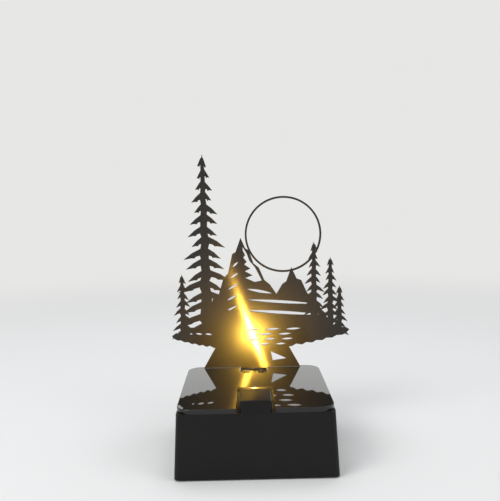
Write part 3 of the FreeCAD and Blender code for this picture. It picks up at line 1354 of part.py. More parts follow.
def rounded_route(name, points):
    """A wire through the points, each corner as large an arc as its two runs allow."""
    edges = []
    radii = []
    start = points[0]
    for before, corner, after in zip(points, points[1:], points[2:]):
        toward = (before - corner).normalize()
        away = (after - corner).normalize()
        turn = math.pi - toward.getAngle(away)
        trim = 0.45 * min((before - corner).Length, (after - corner).Length)
        radii.append(trim / math.tan(turn / 2))
        enter = corner + toward * trim
        leave = corner + away * trim
        bisector = (toward + away).normalize()
        to_centre = math.hypot(trim, radii[-1])
        middle = corner + bisector * (to_centre - radii[-1])
        edges += [Part.LineSegment(start, enter).toShape(), Part.Arc(enter, middle, leave).toShape()]
        start = leave
    edges.append(Part.LineSegment(start, points[-1]).toShape())
    print(f"{name}: bend radii {[round(radius, 1) for radius in radii]} mm")
    return Part.Wire(edges)


def make_lead(doc, d, name, points):
    """A twelve-sided tube along the route, read from the sheet because its path leaves every plane."""
    places = [Vector(*(value_of(n) for n in point)) for point in points]
    route = rounded_route(name, places)
    radius = value_of(d.lead_radius)
    ahead = (places[1] - places[0]).normalize()
    across = ahead.cross(Vector(0, 0, 1) if abs(ahead.z) < 0.9 else Vector(1, 0, 0)).normalize() * radius
    beside = ahead.cross(across)
    count = 12
    turns = [2 * math.pi * i / count for i in range(count)]
    ring = [places[0] + across * math.cos(turn) + beside * math.sin(turn) for turn in turns]
    tube = route.makePipeShell([Part.makePolygon(ring + ring[:1])], True, False)
    expected = count / 2 * radius ** 2 * math.sin(2 * math.pi / count) * route.Length
    print(f"{name}: length {route.Length:.1f} mm, volume {tube.Volume / expected:.4f} of section times length")
    lead = doc.addObject("Part::Feature", name)
    lead.Shape = tube
    return lead


def make_leads(doc, d):
    tab_x = d.bay_half_x - d.plate_thickness / 2
    over_tab = d.tab_top + d.lead_radius
    lap_y = d.blade_end + d.lead_lap
    over_blade = d.switch_height + d.blade_thickness / 2 + d.solder_gap + d.lead_radius
    lower = over_blade - d.blade_offset
    past_tab = max(lower, over_tab, key=value_of)
    upper = over_blade + d.blade_offset
    under_board = d.deck_top - d.solder_gap
    wire_x = d.wire_spacing / 2
    return [
        make_lead(doc, d, "switch_lead", (
            (tab_x, cell_y(d, 0), over_tab),
            (d.switch_side, lap_y - d.lead_run, past_tab),
            (d.switch_side, lap_y, lower))),
        make_lead(doc, d, "lamp_lead", (
            (d.switch_side, lap_y, upper),
            (d.switch_side, lap_y - d.lamp_lead_run, upper),
            (wire_x, d.wire_y, under_board - d.lead_drop),
            (wire_x, d.wire_y, under_board))),
        make_lead(doc, d, "return_lead", (
            (-tab_x, cell_y(d, 2), over_tab),
            (-wire_x, d.wire_y, under_board - d.lead_drop),
            (-wire_x, d.wire_y, under_board))),
    ]


def write_parts(doc, pieces):
    """Refuses a failed object or an invalid shape, then writes each piece's STEP file."""
    doc.recompute()
    for item in doc.Objects:
        if {"Invalid", "Error"} & set(item.State):
            raise RuntimeError(f"{item.Label} failed: {item.State}")
    for piece in pieces:
        if piece.Shape.isNull() or not piece.Shape.isValid() or not piece.Shape.Solids:
            raise RuntimeError(f"{piece.Label} has no valid solid")
    os.makedirs("parts", exist_ok=True)
    for piece in pieces:
        piece.Shape.exportStep(f"parts/{piece.Label}.step")
        print(f"{piece.Label}: {len(piece.Shape.Solids)} solid(s), {piece.Shape.Volume:.1f} mm3")


def main():
    doc = FreeCAD.newDocument("shadow_lamp")
    d = make_sheet(doc)
    levels(d)
    light_places(d)
    bay_places(d)
    switch_places(d)
    pieces = [
        make_housing(doc, d),
        make_sheet_of_acrylic(doc, d),
        make_panel(doc, d),
        make_panel_screws(doc, d),
        make_hood(doc, d),
        make_hood_screws(doc, d),
        make_board(doc, d),
        make_lamp(doc, d),
        make_lamp_leads(doc, d),
        make_resistor(doc, d),
        make_cover(doc, d),
        make_cover_screws(doc, d),
        make_door(doc, d),
        make_contact(doc, d, "positive_contact", 1, ((0, "plus"),), tab=0),
        make_contact(doc, d, "link_contact_right", 1, ((1, "minus"), (2, "plus"))),
        make_contact(doc, d, "link_contact_left", -1, ((0, "minus"), (1, "plus"))),
        make_contact(doc, d, "negative_contact", -1, ((2, "minus"),), tab=2),
        make_switch_body(doc, d),
        make_rocker(doc, d),
        make_terminals(doc, d),
        make_feet(doc, d),
    ]
    pieces += [make_cell(doc, d, index) for index in range(3)]
    pieces += make_leads(doc, d)
    write_parts(doc, pieces)


main()
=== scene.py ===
import json
import math

import bmesh
import bpy
import numpy as np
from mathutils import Matrix, Vector

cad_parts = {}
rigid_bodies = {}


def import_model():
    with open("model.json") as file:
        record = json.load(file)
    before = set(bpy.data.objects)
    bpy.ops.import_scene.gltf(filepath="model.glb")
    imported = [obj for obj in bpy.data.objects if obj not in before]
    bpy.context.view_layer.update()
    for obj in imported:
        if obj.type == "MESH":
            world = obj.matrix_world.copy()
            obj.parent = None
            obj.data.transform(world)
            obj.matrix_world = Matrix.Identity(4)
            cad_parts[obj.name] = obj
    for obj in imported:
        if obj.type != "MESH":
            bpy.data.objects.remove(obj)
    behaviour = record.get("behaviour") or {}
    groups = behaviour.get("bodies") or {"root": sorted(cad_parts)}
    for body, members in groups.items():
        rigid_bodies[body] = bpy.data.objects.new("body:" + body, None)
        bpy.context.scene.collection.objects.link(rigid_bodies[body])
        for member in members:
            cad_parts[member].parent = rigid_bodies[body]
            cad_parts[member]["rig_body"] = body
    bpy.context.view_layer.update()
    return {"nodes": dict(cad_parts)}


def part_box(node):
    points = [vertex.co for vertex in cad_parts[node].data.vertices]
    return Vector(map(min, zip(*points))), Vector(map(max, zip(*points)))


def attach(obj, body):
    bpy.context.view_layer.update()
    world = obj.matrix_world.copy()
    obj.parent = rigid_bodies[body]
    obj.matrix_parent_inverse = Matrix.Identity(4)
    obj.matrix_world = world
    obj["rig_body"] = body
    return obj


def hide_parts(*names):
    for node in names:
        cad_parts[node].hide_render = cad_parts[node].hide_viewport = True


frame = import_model()
node = frame["nodes"]
mm = 0.001

# Base housing: one moulding in black ABS with drafted walls, spark-eroded to a fine satin grain.
# Its edges leave the tool with a radius of a third of a millimetre, which catches the light.


class Wire:
    """One output of a material's nodes. Arithmetic adds Math nodes: 1 - mask is an expression."""

    def __init__(self, socket):
        self.socket = socket
        self.tree = socket.id_data

    def add(self, kind, settings=None, inputs=None, out=0):
        """A node of any type: its settings go first, then the values or wires of its sockets."""
        made = self.tree.nodes.new(kind)
        for name, value in (settings or {}).items():
            setattr(made, name, value)
        for name, value in (inputs or {}).items():
            if isinstance(value, Wire):
                self.tree.links.new(value.socket, made.inputs[name])
            else:
                made.inputs[name].default_value = value
        return Wire(made.outputs[out])

    def sum_of(self, operation, first, second=0.0):
        return self.add("ShaderNodeMath", {"operation": operation}, {0: first, 1: second})

    def __add__(self, other):
        return self.sum_of("ADD", self, other)

    def __radd__(self, other):
        return self.sum_of("ADD", other, self)

    def __sub__(self, other):
        return self.sum_of("SUBTRACT", self, other)

    def __rsub__(self, other):
        return self.sum_of("SUBTRACT", other, self)

    def __mul__(self, other):
        return self.sum_of("MULTIPLY", self, other)

    def __rmul__(self, other):
        return self.sum_of("MULTIPLY", other, self)

    def __pow__(self, other):
        return self.sum_of("POWER", self, other)

    def __abs__(self):
        return self.sum_of("ABSOLUTE", self)

    def most(self, other):
        return self.sum_of("MAXIMUM", self, other)

    def step(self, start, end):
        """0 below start, 1 above end and smooth between them. With start over end it falls."""
        return self.add("ShaderNodeMapRange", {"interpolation_type": "SMOOTHSTEP"},
                        {"Value": self, "From Min": start, "From Max": end})

    def inside(self, half, fuzz):
        """1 where this wire lies within half of zero, with an edge fuzz wide on each side."""
        return (abs(self) - half).step(fuzz, -fuzz)

    def part(self, axis):
        return self.add("ShaderNodeSeparateXYZ", None, {0: self}, "XYZ".index(axis))

    def turned(self, angles, moved=(0, 0, 0)):
        return self.add("ShaderNodeMapping", {"vector_type": "POINT"},
                        {"Vector": self, "Location": moved, "Rotation": angles})

    def stretched(self, cells):
        """This place counted in cells, with a number of cells in a metre for each axis."""
        return self.add("ShaderNodeVectorMath", {"operation": "MULTIPLY"}, {0: self, 1: cells})

    def noise(self, cells, detail=2.0, rough=0.5):
        """Soft noise between 0 and 1, with a number of cells in a metre."""
        return self.add("ShaderNodeTexNoise", {"noise_dimensions": "3D"},
                        {"Vector": self, "Scale": cells, "Detail": detail, "Roughness": rough})

    def blend(self, dark, light):
        """A colour between two colours, by this wire's value."""
        dark, light = (c if isinstance(c, Wire) else (*c, 1) for c in (dark, light))
        return self.add("ShaderNodeMix", {"data_type": "RGBA"}, {0: self, 6: dark, 7: light}, 2)

    def bump(self, height, strength=1.0, under=None):
        """Normals of a surface raised by this wire's value times height, in metres."""
        wires = {"Height": self, "Distance": height, "Strength": strength}
        if under:
            wires["Normal"] = under
        return self.add("ShaderNodeBump", None, wires)


def finish(name, **sockets):
    """A material with one Principled shader, and the wire of the piece's own place in metres."""
    material = bpy.data.materials.new(name)
    material.use_nodes = True
    shader = next(n for n in material.node_tree.nodes if n.type == "BSDF_PRINCIPLED")
    for socket, value in sockets.items():
        shader.inputs[socket.replace("_", " ")].default_value = value
    at = Wire(shader.outputs[0]).add("ShaderNodeTexCoord", None, None, "Object")
    return material, shader, at


def feed(shader, **wires):
    for socket, wire in wires.items():
        shader.id_data.links.new(wire.socket, shader.inputs[socket.replace("_", " ")])


def dressed(piece, material):
    piece.data.materials.clear()
    piece.data.materials.append(material)
    return piece


def moulded(name, tint, grain_cells, roughness, gloss, sheen):
    """Moulded plastic: cloudy tint, a fine spark grain some tenths of a millimetre wide, and slow
    changes of gloss where hands have rubbed it. A low sheen is for a grain that swallows light."""
    cloud_cells, rubbed_cells, fleck_cells = 45, 28, 900
    material, shader, at = finish(name, IOR=gloss, Specular_IOR_Level=sheen)
    cloud = at.noise(cloud_cells, 3)
    rubbed = at.noise(rubbed_cells, 4, 0.6).step(0.42, 0.70)
    spark = at.noise(grain_cells, 3, 0.62)
    fleck = at.noise(fleck_cells, 2).step(0.72, 0.80)
    dark, light = (tuple(share * c for c in tint) for share in (0.8, 1.25))
    feed(shader,
         Base_Color=cloud.blend(dark, light),
         Roughness=roughness + 0.10 * spark - 0.07 * rubbed + 0.05 * fleck,
         Normal=spark.bump(0.05 * mm, 0.7))
    return material


def joined(name):
    """A new piece with the CAD node's own surface, its loose triangles joined up."""
    source = node[name]
    mesh = source.data.copy()
    work = bmesh.new()
    work.from_mesh(mesh)
    bmesh.ops.remove_doubles(work, verts=work.verts, dist=0.002 * mm)
    work.to_mesh(mesh)
    work.free()
    if mesh.has_custom_normals:
        mesh.attributes.remove(mesh.attributes["custom_normal"])
    piece = bpy.data.objects.new(f"{name}_finished", mesh)
    bpy.context.scene.collection.objects.link(piece)
    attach(piece, source["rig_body"])
    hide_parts(name)
    return piece


def softened(name, width, segments=2):
    """The joined copy with its flat areas made whole and its sharp edges rounded to a radius."""
    flat, sharp = math.radians(0.4), math.radians(35.0)
    piece = joined(name)
    work = bmesh.new()
    work.from_mesh(piece.data)
    bmesh.ops.dissolve_limit(work, angle_limit=flat, verts=work.verts, edges=work.edges)
    work.to_mesh(piece.data)
    work.free()
    piece.data.shade_smooth()
    edge = piece.modifiers.new("edge radius", "BEVEL")
    edge.width = width
    edge.segments = segments
    edge.limit_method = "ANGLE"
    edge.angle_limit = sharp
    edge.use_clamp_overlap = True
    shading = piece.modifiers.new("flat faces stay flat", "WEIGHTED_NORMAL")
    shading.mode = "FACE_AREA"
    shading.weight = 100
    return piece


abs_black = moulded("moulded black ABS", (0.0080, 0.0076, 0.0072), grain_cells=3600,
                    roughness=0.42, gloss=1.42, sheen=0.25)
housing = softened("base_housing", 0.30 * mm)
dressed(housing, abs_black)

# Deck sheet: 3 mm black cast acrylic, laser-cut and flame-polished, bonded to the deck with tape.
# Wiping leaves hairlines that only show as faint streaks in its mirror gloss.

hair_cells = (60, 5200, 400)
hair_wipes = ((0.4, 0.0), (-0.9, 3.1), (1.7, 7.7))
wiped_cells, mote_cells = 22, 1500
face_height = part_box("top_sheet")[1].z

acrylic, shader, at = finish("polished black acrylic", Base_Color=(0.0045, 0.0044, 0.0045, 1),
                             IOR=1.49, Coat_Roughness=0.012, Coat_IOR=1.6)
on_top = at.part("Z").step(face_height - 0.10 * mm, face_height - 0.02 * mm)
hairs = None
for turn, shift in hair_wipes:
    wipe = at.turned((0, 0, turn), (shift, shift, 0)).stretched(hair_cells)
    streak = wipe.noise(1.0, 1).step(0.70, 0.74)
    hairs = streak if hairs is None else hairs.most(streak)
wiped = at.noise(wiped_cells, 3).step(0.45, 0.75)
motes = at.noise(mote_cells, 1).step(0.80, 0.84)
dulled = 0.030 * wiped + 0.12 * hairs * wiped + 0.35 * motes
feed(shader, Roughness=0.018 + dulled + 0.10 * (1 - on_top), Coat_Weight=on_top,
     Normal=(hairs * wiped).bump(-0.001 * mm, 0.5))
deck_sheet = softened("top_sheet", 0.12 * mm)
dressed(deck_sheet, acrylic)

# Cut-out panel: one sheet of brushed steel with a satin black finish that keeps the grain,
# laser-cut to the picture, with a foot bent forward through the deck sheet and screwed down.

grain_lean = 20.0
fine_cells, coarse_cells, patch_cells = (70, 1, 9000), (14, 1, 1400), 30
groove_black, ridge_black = (0.009, 0.008, 0.007), (0.034, 0.030, 0.025)
# The cut faces' lighter colour is a painted highlight, for light catching the sheet's edges.
painted_edge_highlight = (0.085, 0.078, 0.070)

# A face is part of the laser's cut when its normal points neither along Y nor straight up or down.
panel = joined("silhouette_panel")
normals = np.empty(3 * len(panel.data.polygons))
panel.data.polygons.foreach_get("normal", normals)
forward, upward = abs(normals.reshape(-1, 3)[:, 1:]).T
cut_faces = (forward < 0.6) & (upward < 0.97)
cut_edge = panel.data.attributes.new("cut edge", "FLOAT", "FACE")
cut_edge.data.foreach_set("value", cut_faces.astype(float))
# The brushing's direction is the same all over when the mesh's texture space lies far in front.
panel.data.use_auto_texspace = False
panel.data.texspace_location = (0.0, -1.0, 0.0)
panel.data.texspace_size = (10.0, 1.0, 1.0)

steel, shader, at = finish("brushed black steel", Metallic=0.6, IOR=1.45, Anisotropic=1.0,
                           Anisotropic_Rotation=(90.0 + grain_lean) / 360,
                           Coat_Weight=0.30, Coat_Roughness=0.30)
along = at.turned((0, math.radians(grain_lean), 0))
fine = along.stretched(fine_cells).noise(1.0, 3, 0.7)
coarse = along.stretched(coarse_cells).noise(1.0, 2, 0.6)
patch = at.noise(patch_cells, 3)
cut = at.add("ShaderNodeAttribute", {"attribute_name": "cut edge"}, None, "Fac")
brushed = (0.65 * fine + 0.35 * coarse).blend(groove_black, ridge_black)
# Base colour: brushed grain on the faces, and on the cut faces the painted edge highlight.
feed(shader,
     Base_Color=cut.blend(brushed, painted_edge_highlight),
     Roughness=0.155 + 0.04 * coarse + 0.03 * patch + 0.28 * cut,
     Normal=fine.bump(0.010 * mm, 0.35, coarse.bump(0.03 * mm, 0.22)))
dressed(panel, steel)

# Screws: zinc-plated, with flat heads and a cross recess for the driver. Two, blackened, hold the
# panel's foot, two come up into the hood and four close the bottom cover.


def laid(name, points, sharp=35.0, end_pole=True):
    """A mesh from a grid of points: row by row along one parameter, round the other. The first row
    closes to a pole, the middle of that row, and so does the last where it is asked for."""
    rows, columns = points.shape[:2]
    left = np.arange(rows * columns).reshape(rows, columns)
    right = np.roll(left, -1, axis=1)
    quads = np.stack([left[:-1], right[:-1], right[1:], left[1:]], axis=-1).reshape(-1, 4)
    verts = points.reshape(-1, 3)
    pole = np.full(columns, len(verts))
    faces = quads.tolist() + np.stack([pole, right[0], left[0]], axis=-1).tolist()
    verts = np.vstack([verts, points[0].mean(axis=0)])
    if end_pole:
        faces += np.stack([pole + 1, left[-1], right[-1]], axis=-1).tolist()
        verts = np.vstack([verts, points[-1].mean(axis=0)])
    mesh = bpy.data.meshes.new(name)
    mesh.from_pydata(verts.tolist(), [], faces)
    mesh.shade_smooth()
    mesh.set_sharp_from_angle(angle=math.radians(sharp))
    return mesh


def merged(name, meshes):
    """Several meshes as one object at the origin, its place in its mesh, its faces outwards."""
    work = bmesh.new()
    for mesh in meshes:
        work.from_mesh(mesh)
        bpy.data.meshes.remove(mesh)
    bmesh.ops.recalc_face_normals(work, faces=work.faces)
    whole = bpy.data.meshes.new(name)
    work.to_mesh(whole)
    work.free()
    piece = bpy.data.objects.new(name, whole)
    bpy.context.scene.collection.objects.link(piece)
    return piece


def soft(t):
    """A ramp from 0 to 1 that is level at both ends: t squared times 3 less twice t."""
    t = np.clip(t, 0, 1)
    return t ** 2 * (3 - 2 * t)


def screw(centre, outward, head, tall, shank, long, drive):
    """Radius and height run along a profile while the angle goes round. On the head the height also
    drops inside a cross: where the nearer of |x| and |y| is under the slot's half width and the
    farther under the cross's reach, it is lower by the recess, with soft shoulders."""
    turns, rings, corner_rings = 96, 26, 4
    edge, dishing, point = 0.18, 0.06, 0.6
    slot_half, recess = 0.20 * drive, 0.75 * tall
    face = np.linspace(0.04, head - edge, rings)
    bend = np.linspace(0.0, math.pi / 2, corner_rings + 1)[1:]
    radius = np.concatenate([face, head - edge + edge * np.sin(bend),
                             [head, head, shank, shank, shank, 0.45 * shank]])
    height = np.concatenate([np.full(rings, tall), tall - edge + edge * np.cos(bend),
                             [0.5 * tall, 0.0, 0.0, -0.1, point - long, -long]])
    angle = np.linspace(0, 2 * math.pi, turns, endpoint=False)
    r, a = np.meshgrid(radius, angle, indexing="ij")
    x, y = r * np.cos(a), r * np.sin(a)
    near, far = np.minimum(abs(x), abs(y)), np.maximum(abs(x), abs(y))
    slot = soft((slot_half - near) / 0.10 + 0.5) * soft((drive - far) / 0.16 + 0.5)
    ring = np.arange(len(radius))[:, None]
    drop = np.where(ring < rings, dishing * (r / head) ** 2 + recess * slot,
                    dishing * (ring < rings + corner_rings))
    points = np.stack([x, y, height[:, None] - drop], axis=-1) * mm
    points = points @ np.diag([1.0, outward, outward]) + np.array(centre) * mm
    return laid("screw", points)


def span(name):
    """The lowest and the highest corner of a CAD node, in millimetres."""
    return [np.array(corner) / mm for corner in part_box(name)]


def plated(name, dull, bright):
    """A thin metal coat on steel, with the soft wear that drivers and other screws leave on it."""
    cloud_cells, worn_cells = 300, 900
    material, shader, at = finish(name, Metallic=1.0)
    worn = at.noise(worn_cells, 3)
    feed(shader, Base_Color=at.noise(cloud_cells, 2).blend(dull, bright),
         Roughness=0.24 + 0.16 * worn, Normal=worn.bump(0.01 * mm, 0.25))
    return material


zinc = plated("zinc plated steel", (0.52, 0.52, 0.51), (0.66, 0.66, 0.64))
# Near-black zinc for the panel screws: partly a blackened finish, partly painted shade for the dark
# notch they sit in.
black_zinc_and_notch_shade = plated("black zinc plated steel and painted notch shade", (0.060, 0.060, 0.062), (0.110, 0.108, 0.105))

low, high = span("panel_screws")
head, tall, shank, drive = 2.2, 1.3, 1.0, 1.15
seat = high[2] - tall
panel_screws = merged("panel_screws_finished", [
    screw((x, low[1] + head, seat), 1, head, tall, shank, seat - low[2], drive)
    for x in (low[0] + head, high[0] - head)])

low, high = span("cover_screws")
head, tall, shank, drive = 2.75, 1.7, 1.2, 1.5
seat = low[2] + tall
cover_screws = merged("cover_screws_finished", [
    screw((x, y, seat), -1, head, tall, shank, high[2] - seat, drive)
    for x in (low[0] + head, high[0] - head) for y in (low[1] + head, high[1] - head)])

# The panel screws take the near-black coat, which in part paints the notch's shade.
for piece, name, coat in ((panel_screws, "panel_screws", black_zinc_and_notch_shade),
                          (cover_screws, "cover_screws", zinc)):
    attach(dressed(piece, coat), "base")
    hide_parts(name)
dressed(node["hood_screws"], zinc)

# Light hood: a small moulded box over the lamp, smooth and a little glossier than the base, open
# below, with a round window for the lamp in its back wall.

hood_black = moulded("smooth black ABS", (0.0075, 0.0070, 0.0068), grain_cells=6000,
                     roughness=0.18, gloss=1.5, sheen=0.18)
hood = softened("led_hood", 0.35 * mm, 3)
dressed(hood, hood_black)

# Lamp: a 3 mm LED in clear epoxy, with a collar at its base, whose chip floods the dome with amber.
# Its two tinned legs, the board that carries them and the chip resistor sit under the hood.


def spun(profile, turns, base, axis=(0, 0, 1), sharp=35.0):
    """A surface of revolution: each radius and height of the profile goes round the axis through
    the base, to radius times cosine, radius times sine and height."""
    angle = np.linspace(0, 2 * math.pi, turns, endpoint=False)
    r, h = np.array(profile, float).T
    points = np.stack([np.outer(r, np.cos(angle)), np.outer(r, np.sin(angle)),
                       np.outer(h, np.ones(turns))], axis=-1)
    turn = np.array(Vector((0, 0, 1)).rotation_difference(Vector(axis)).to_matrix())
    return laid("spun", (points @ turn.T + np.array(base)) * mm, sharp)


tilt = math.radians(20.0)
dome_radius, cylinder = 1.5, 3.8
collar_radius, collar_long, lip = 1.9, 1.0, 0.08
amber_dome, amber_beam = (1.0, 0.56, 0.07), (1.0, 0.58, 0.07)

ahead = np.array([0.0, math.cos(tilt), math.sin(tilt)])
low, high = span("led_lamp")
root = np.array([0.0, low[1] + collar_radius * ahead[2], low[2] + collar_radius * ahead[1]])
lamp_profile = [(0.2, 0), (collar_radius - lip, 0), (collar_radius, lip),
                (collar_radius, collar_long - 0.1), (collar_radius - lip, collar_long),
                (dome_radius + 0.06, collar_long), (dome_radius, collar_long + 0.06)]
lamp_profile += [(dome_radius, h) for h in np.linspace(1.3, cylinder, 8)]
lamp_profile += [(dome_radius * math.cos(t), cylinder + dome_radius * math.sin(t))
                 for t in np.linspace(0, math.pi / 2, 13)[1:-1]]
lamp = merged("led_lamp_finished", [spun(lamp_profile, 48, root, ahead)])

epoxy, shader, at = finish("lit amber epoxy", Roughness=0.08, IOR=1.54, Emission_Strength=3000.0)
deep, up = at.part("Y") - root[1] * mm, at.part("Z") - root[2] * mm
glow = (deep * ahead[1] + up * ahead[2]).step(0.4 * mm, 4.8 * mm)
feed(shader, Base_Color=glow.blend((0.75, 0.45, 0.12), (1.0, 0.80, 0.40)),
     Emission_Color=glow.blend((0.10, 0.045, 0.003), amber_dome))
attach(dressed(lamp, epoxy), "base")
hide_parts("led_lamp")

# The dome is a lens that throws most of the light along its axis, in a cone that fades to its rim.
beam = bpy.data.lights.new("beam of the lamp", "SPOT")
beam.energy, beam.color, beam.shadow_soft_size = 2.0, amber_beam, 1.0 * mm
beam.spot_size, beam.spot_blend = math.radians(95.0), 1.0
beam_start = cylinder + dome_radius + 1.5
beam_stand = bpy.data.objects.new("beam of the lamp", beam)
beam_stand.rotation_mode = "QUATERNION"
beam_stand.rotation_quaternion = Vector(ahead).to_track_quat("-Z", "Y")
beam_stand.location = Vector(root + beam_start * ahead) * mm
bpy.context.scene.collection.objects.link(beam_stand)

# Contacts, terminals and legs are stamped or drawn strip with a nickel coat.
drawn_cells = (200, 200, 6000)
nickel, shader, at = finish("nickel plated strip", Metallic=1.0)
drawn = at.stretched(drawn_cells).noise(1.0, 2)
feed(shader, Base_Color=at.noise(250, 2).blend((0.62, 0.59, 0.54), (0.76, 0.73, 0.68)),
     Roughness=0.18 + 0.14 * drawn, Normal=drawn.bump(0.004 * mm, 0.3))
for name in ("led_leads", "positive_contact", "link_contact_right", "link_contact_left",
             "negative_contact", "switch_terminals"):
    dressed(node[name], nickel)

# The board's white mask leaves two tinned pads free round the legs and shows a trace to each side.
pad_place, pad_half, trace_place, trace_half = 1.27 * mm, (0.9 * mm, 1.1 * mm), 2.5 * mm, 0.4 * mm
fuzz = 0.1 * mm
mask_white, mask_over_trace, tin = (0.80, 0.80, 0.76), (0.70, 0.71, 0.66), (0.62, 0.60, 0.56)
board_white, shader, at = finish("white solder mask", IOR=1.5)
across, deep = at.part("X"), at.part("Y")
pad_middle = (span("led_leads")[0][1] + 0.3) * mm
pad_here = ((abs(across) - pad_place).inside(pad_half[0], fuzz)
            * (deep - pad_middle).inside(pad_half[1], fuzz))
trace = ((abs(across) - trace_place).inside(trace_half, fuzz)
         * deep.step(pad_middle + 1.4 * mm, pad_middle + 0.4 * mm))
weave = at.noise(2500, 2)
feed(shader, Base_Color=pad_here.blend(trace.blend(mask_white, mask_over_trace), tin),
     Metallic=pad_here, Roughness=0.38 - 0.12 * pad_here + 0.05 * weave,
     Normal=(trace + pad_here).bump(0.03 * mm, 0.6))
dressed(node["led_board"], board_white)

chip, shader, at = finish("chip resistor", IOR=1.6)
cap_start = span("led_resistor")[1][0] - 0.5
tinned = abs(at.part("X")).step((cap_start - 0.02) * mm, (cap_start + 0.02) * mm)
feed(shader, Base_Color=tinned.blend((0.02, 0.02, 0.022), (0.70, 0.69, 0.67)), Metallic=tinned,
     Roughness=0.24 + 0.15 * at.noise(3000, 2))
dressed(node["led_resistor"], chip)

# Bottom cover and battery door: the same black ABS as the base. The cover holds the battery bay,
# and the door hangs in it on two moulded pins and is lifted by a ribbed tongue.

for name in ("bottom_cover", "battery_door"):
    piece = softened(name, 0.15 * mm)
    dressed(piece, abs_black)

# Rubber feet: four punched pads stuck to the housing's rim and cover, with a rolled edge and
# shallow rings underneath for grip. They lift the cover a millimetre off the table.

low, high = span("rubber_feet")
foot_radius, thick, roll_radius = 5.0, high[2] - low[2], 0.4
ring_pitch, ring_depth = 1.3, 0.12
rings = np.linspace(0.0, foot_radius - roll_radius - 0.05, 60)[1:]
wave = 0.5 + 0.5 * np.cos(rings / ring_pitch * 2 * math.pi)
groove = ring_depth * wave ** 4 * (rings > 0.7) * (rings < 4.3)
foot_profile = list(zip(rings, groove))
foot_profile += [(foot_radius - roll_radius * (1 - math.sin(t)), roll_radius * (1 - math.cos(t)))
                 for t in np.linspace(0, math.pi / 2, 7)[1:]]
foot_profile += [(foot_radius, thick - 0.02), (foot_radius - 0.1, thick)]
feet = merged("rubber_feet_finished", [
    spun(foot_profile, 64, (x, y, low[2]), sharp=60)
    for x in (low[0] + foot_radius, high[0] - foot_radius)
    for y in (low[1] + foot_radius, high[1] - foot_radius)])

rubber, shader, at = finish("black rubber", IOR=1.5)
pores = at.noise(3000, 3)
feed(shader, Base_Color=at.noise(180, 3).blend((0.018, 0.018, 0.018), (0.045, 0.044, 0.042)),
     Roughness=0.72 + 0.18 * pores, Normal=pores.bump(0.03 * mm, 0.5))
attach(dressed(feet, rubber), "base")
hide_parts("rubber_feet")

# Batteries: three AAA cells in plain shrink jackets, each a steel can with a crimped shoulder and
# a nub at its plus end. The middle one lies the other way round.


def cell(name, side):
    """The can's profile: a dished minus end, the jacket's rolled edges, the crimp and the nub. The
    can lies along X and its nub points to the given side."""
    low, high = span(name)
    middle = (low + high) / 2
    radius, long = (high[2] - low[2]) / 2, high[0] - low[0]
    profile = [(0.3, 0.25), (3.6, 0.25), (3.9, 0.05), (4.7, 0.0), (5.1, 0.1),
               (radius - 0.03, 0.4), (radius, 0.7)]
    profile += [(radius, h) for h in np.linspace(1.5, long - 2.5, 12)]
    profile += [(inset, long - back) for inset, back in (
        (radius - 0.03, 1.8), (5.1, 1.4), (4.9, 1.1), (4.5, 0.9), (4.0, 0.95), (3.7, 1.2),
        (2.6, 1.2), (2.1, 1.0), (1.9, 0.7), (1.85, 0.2), (1.7, 0.0), (0.3, 0.0))]
    flat_end = (middle[0] - side * long / 2, middle[1], middle[2])
    return spun(profile, 64, flat_end, (side, 0, 0), sharp=50)


scuff_cells, fuzz = (300, 4000, 4000), 0.1 * mm
jacket_start, jacket_end, band_start = 0.5, 1.5, 11.5
for index, side in enumerate((1, -1, 1), 1):
    name = f"battery_{index}"
    piece = merged(f"{name}_finished", [cell(name, side)])
    jacket, shader, at = finish(f"cell jacket {index}", IOR=1.5)
    low, high = span(name)
    long = high[0] - low[0]
    reach = side * (at.part("X") - (low[0] + high[0]) / 2 * mm) + long / 2 * mm
    sleeve = ((reach - jacket_start * mm).step(-fuzz, fuzz)
              * (reach - (long - jacket_end) * mm).step(fuzz, -fuzz))
    band = (reach - (long - band_start) * mm).step(-fuzz, fuzz) * sleeve
    scuff = at.stretched(scuff_cells).noise(1.0, 2).step(0.6, 0.8)
    paint = band.blend((0.045, 0.055, 0.065), (0.42, 0.43, 0.44))
    feed(shader, Base_Color=sleeve.blend((0.66, 0.65, 0.62), paint), Metallic=1 - 0.75 * sleeve,
         Roughness=0.26 + 0.20 * scuff, Normal=scuff.bump(0.004 * mm, 0.3))
    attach(dressed(piece, jacket), "base")
    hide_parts(name)

# Rocker switch: nylon body with a bezel snapped into the back wall, and a glossier rocker whose
# ends carry a printed bar for on and a ring for off.

nylon = moulded("black nylon", (0.010, 0.010, 0.0105), grain_cells=5200,
                roughness=0.26, gloss=1.5, sheen=0.35)
switch = softened("switch_body", 0.10 * mm)
dressed(switch, nylon)

mark_rise, fuzz = 3.1 * mm, 0.06 * mm
bar_half, ring_radius, ring_half = (0.28 * mm, 1.1 * mm), 1.05 * mm, 0.25 * mm
printed, shader, at = finish("printed rocker", IOR=1.53)
low, high = span("switch_rocker")
middle = (low + high) / 2
across, up = at.part("X") - middle[0] * mm, at.part("Z") - middle[2] * mm
outer = at.part("Y").step((high[1] - 2.9) * mm, (high[1] - 2.7) * mm)
bar = across.inside(bar_half[0], fuzz) * (up - mark_rise).inside(bar_half[1], fuzz)
spread = (across ** 2 + (up + mark_rise) ** 2) ** 0.5
ring = (spread - ring_radius).inside(ring_half, fuzz)
mark = bar.most(ring) * outer
touch = at.noise(220, 3)
feed(shader, Base_Color=mark.blend((0.014, 0.014, 0.015), (0.80, 0.80, 0.78)),
     Roughness=0.20 + 0.12 * touch + 0.2 * mark, Normal=at.noise(5200, 2).bump(0.02 * mm, 0.2))
rocker = softened("switch_rocker", 0.15 * mm, 3)
dressed(rocker, printed)

# Wires: stranded copper in soft PVC, red from the battery through the switch to the board and
# black back to the battery.

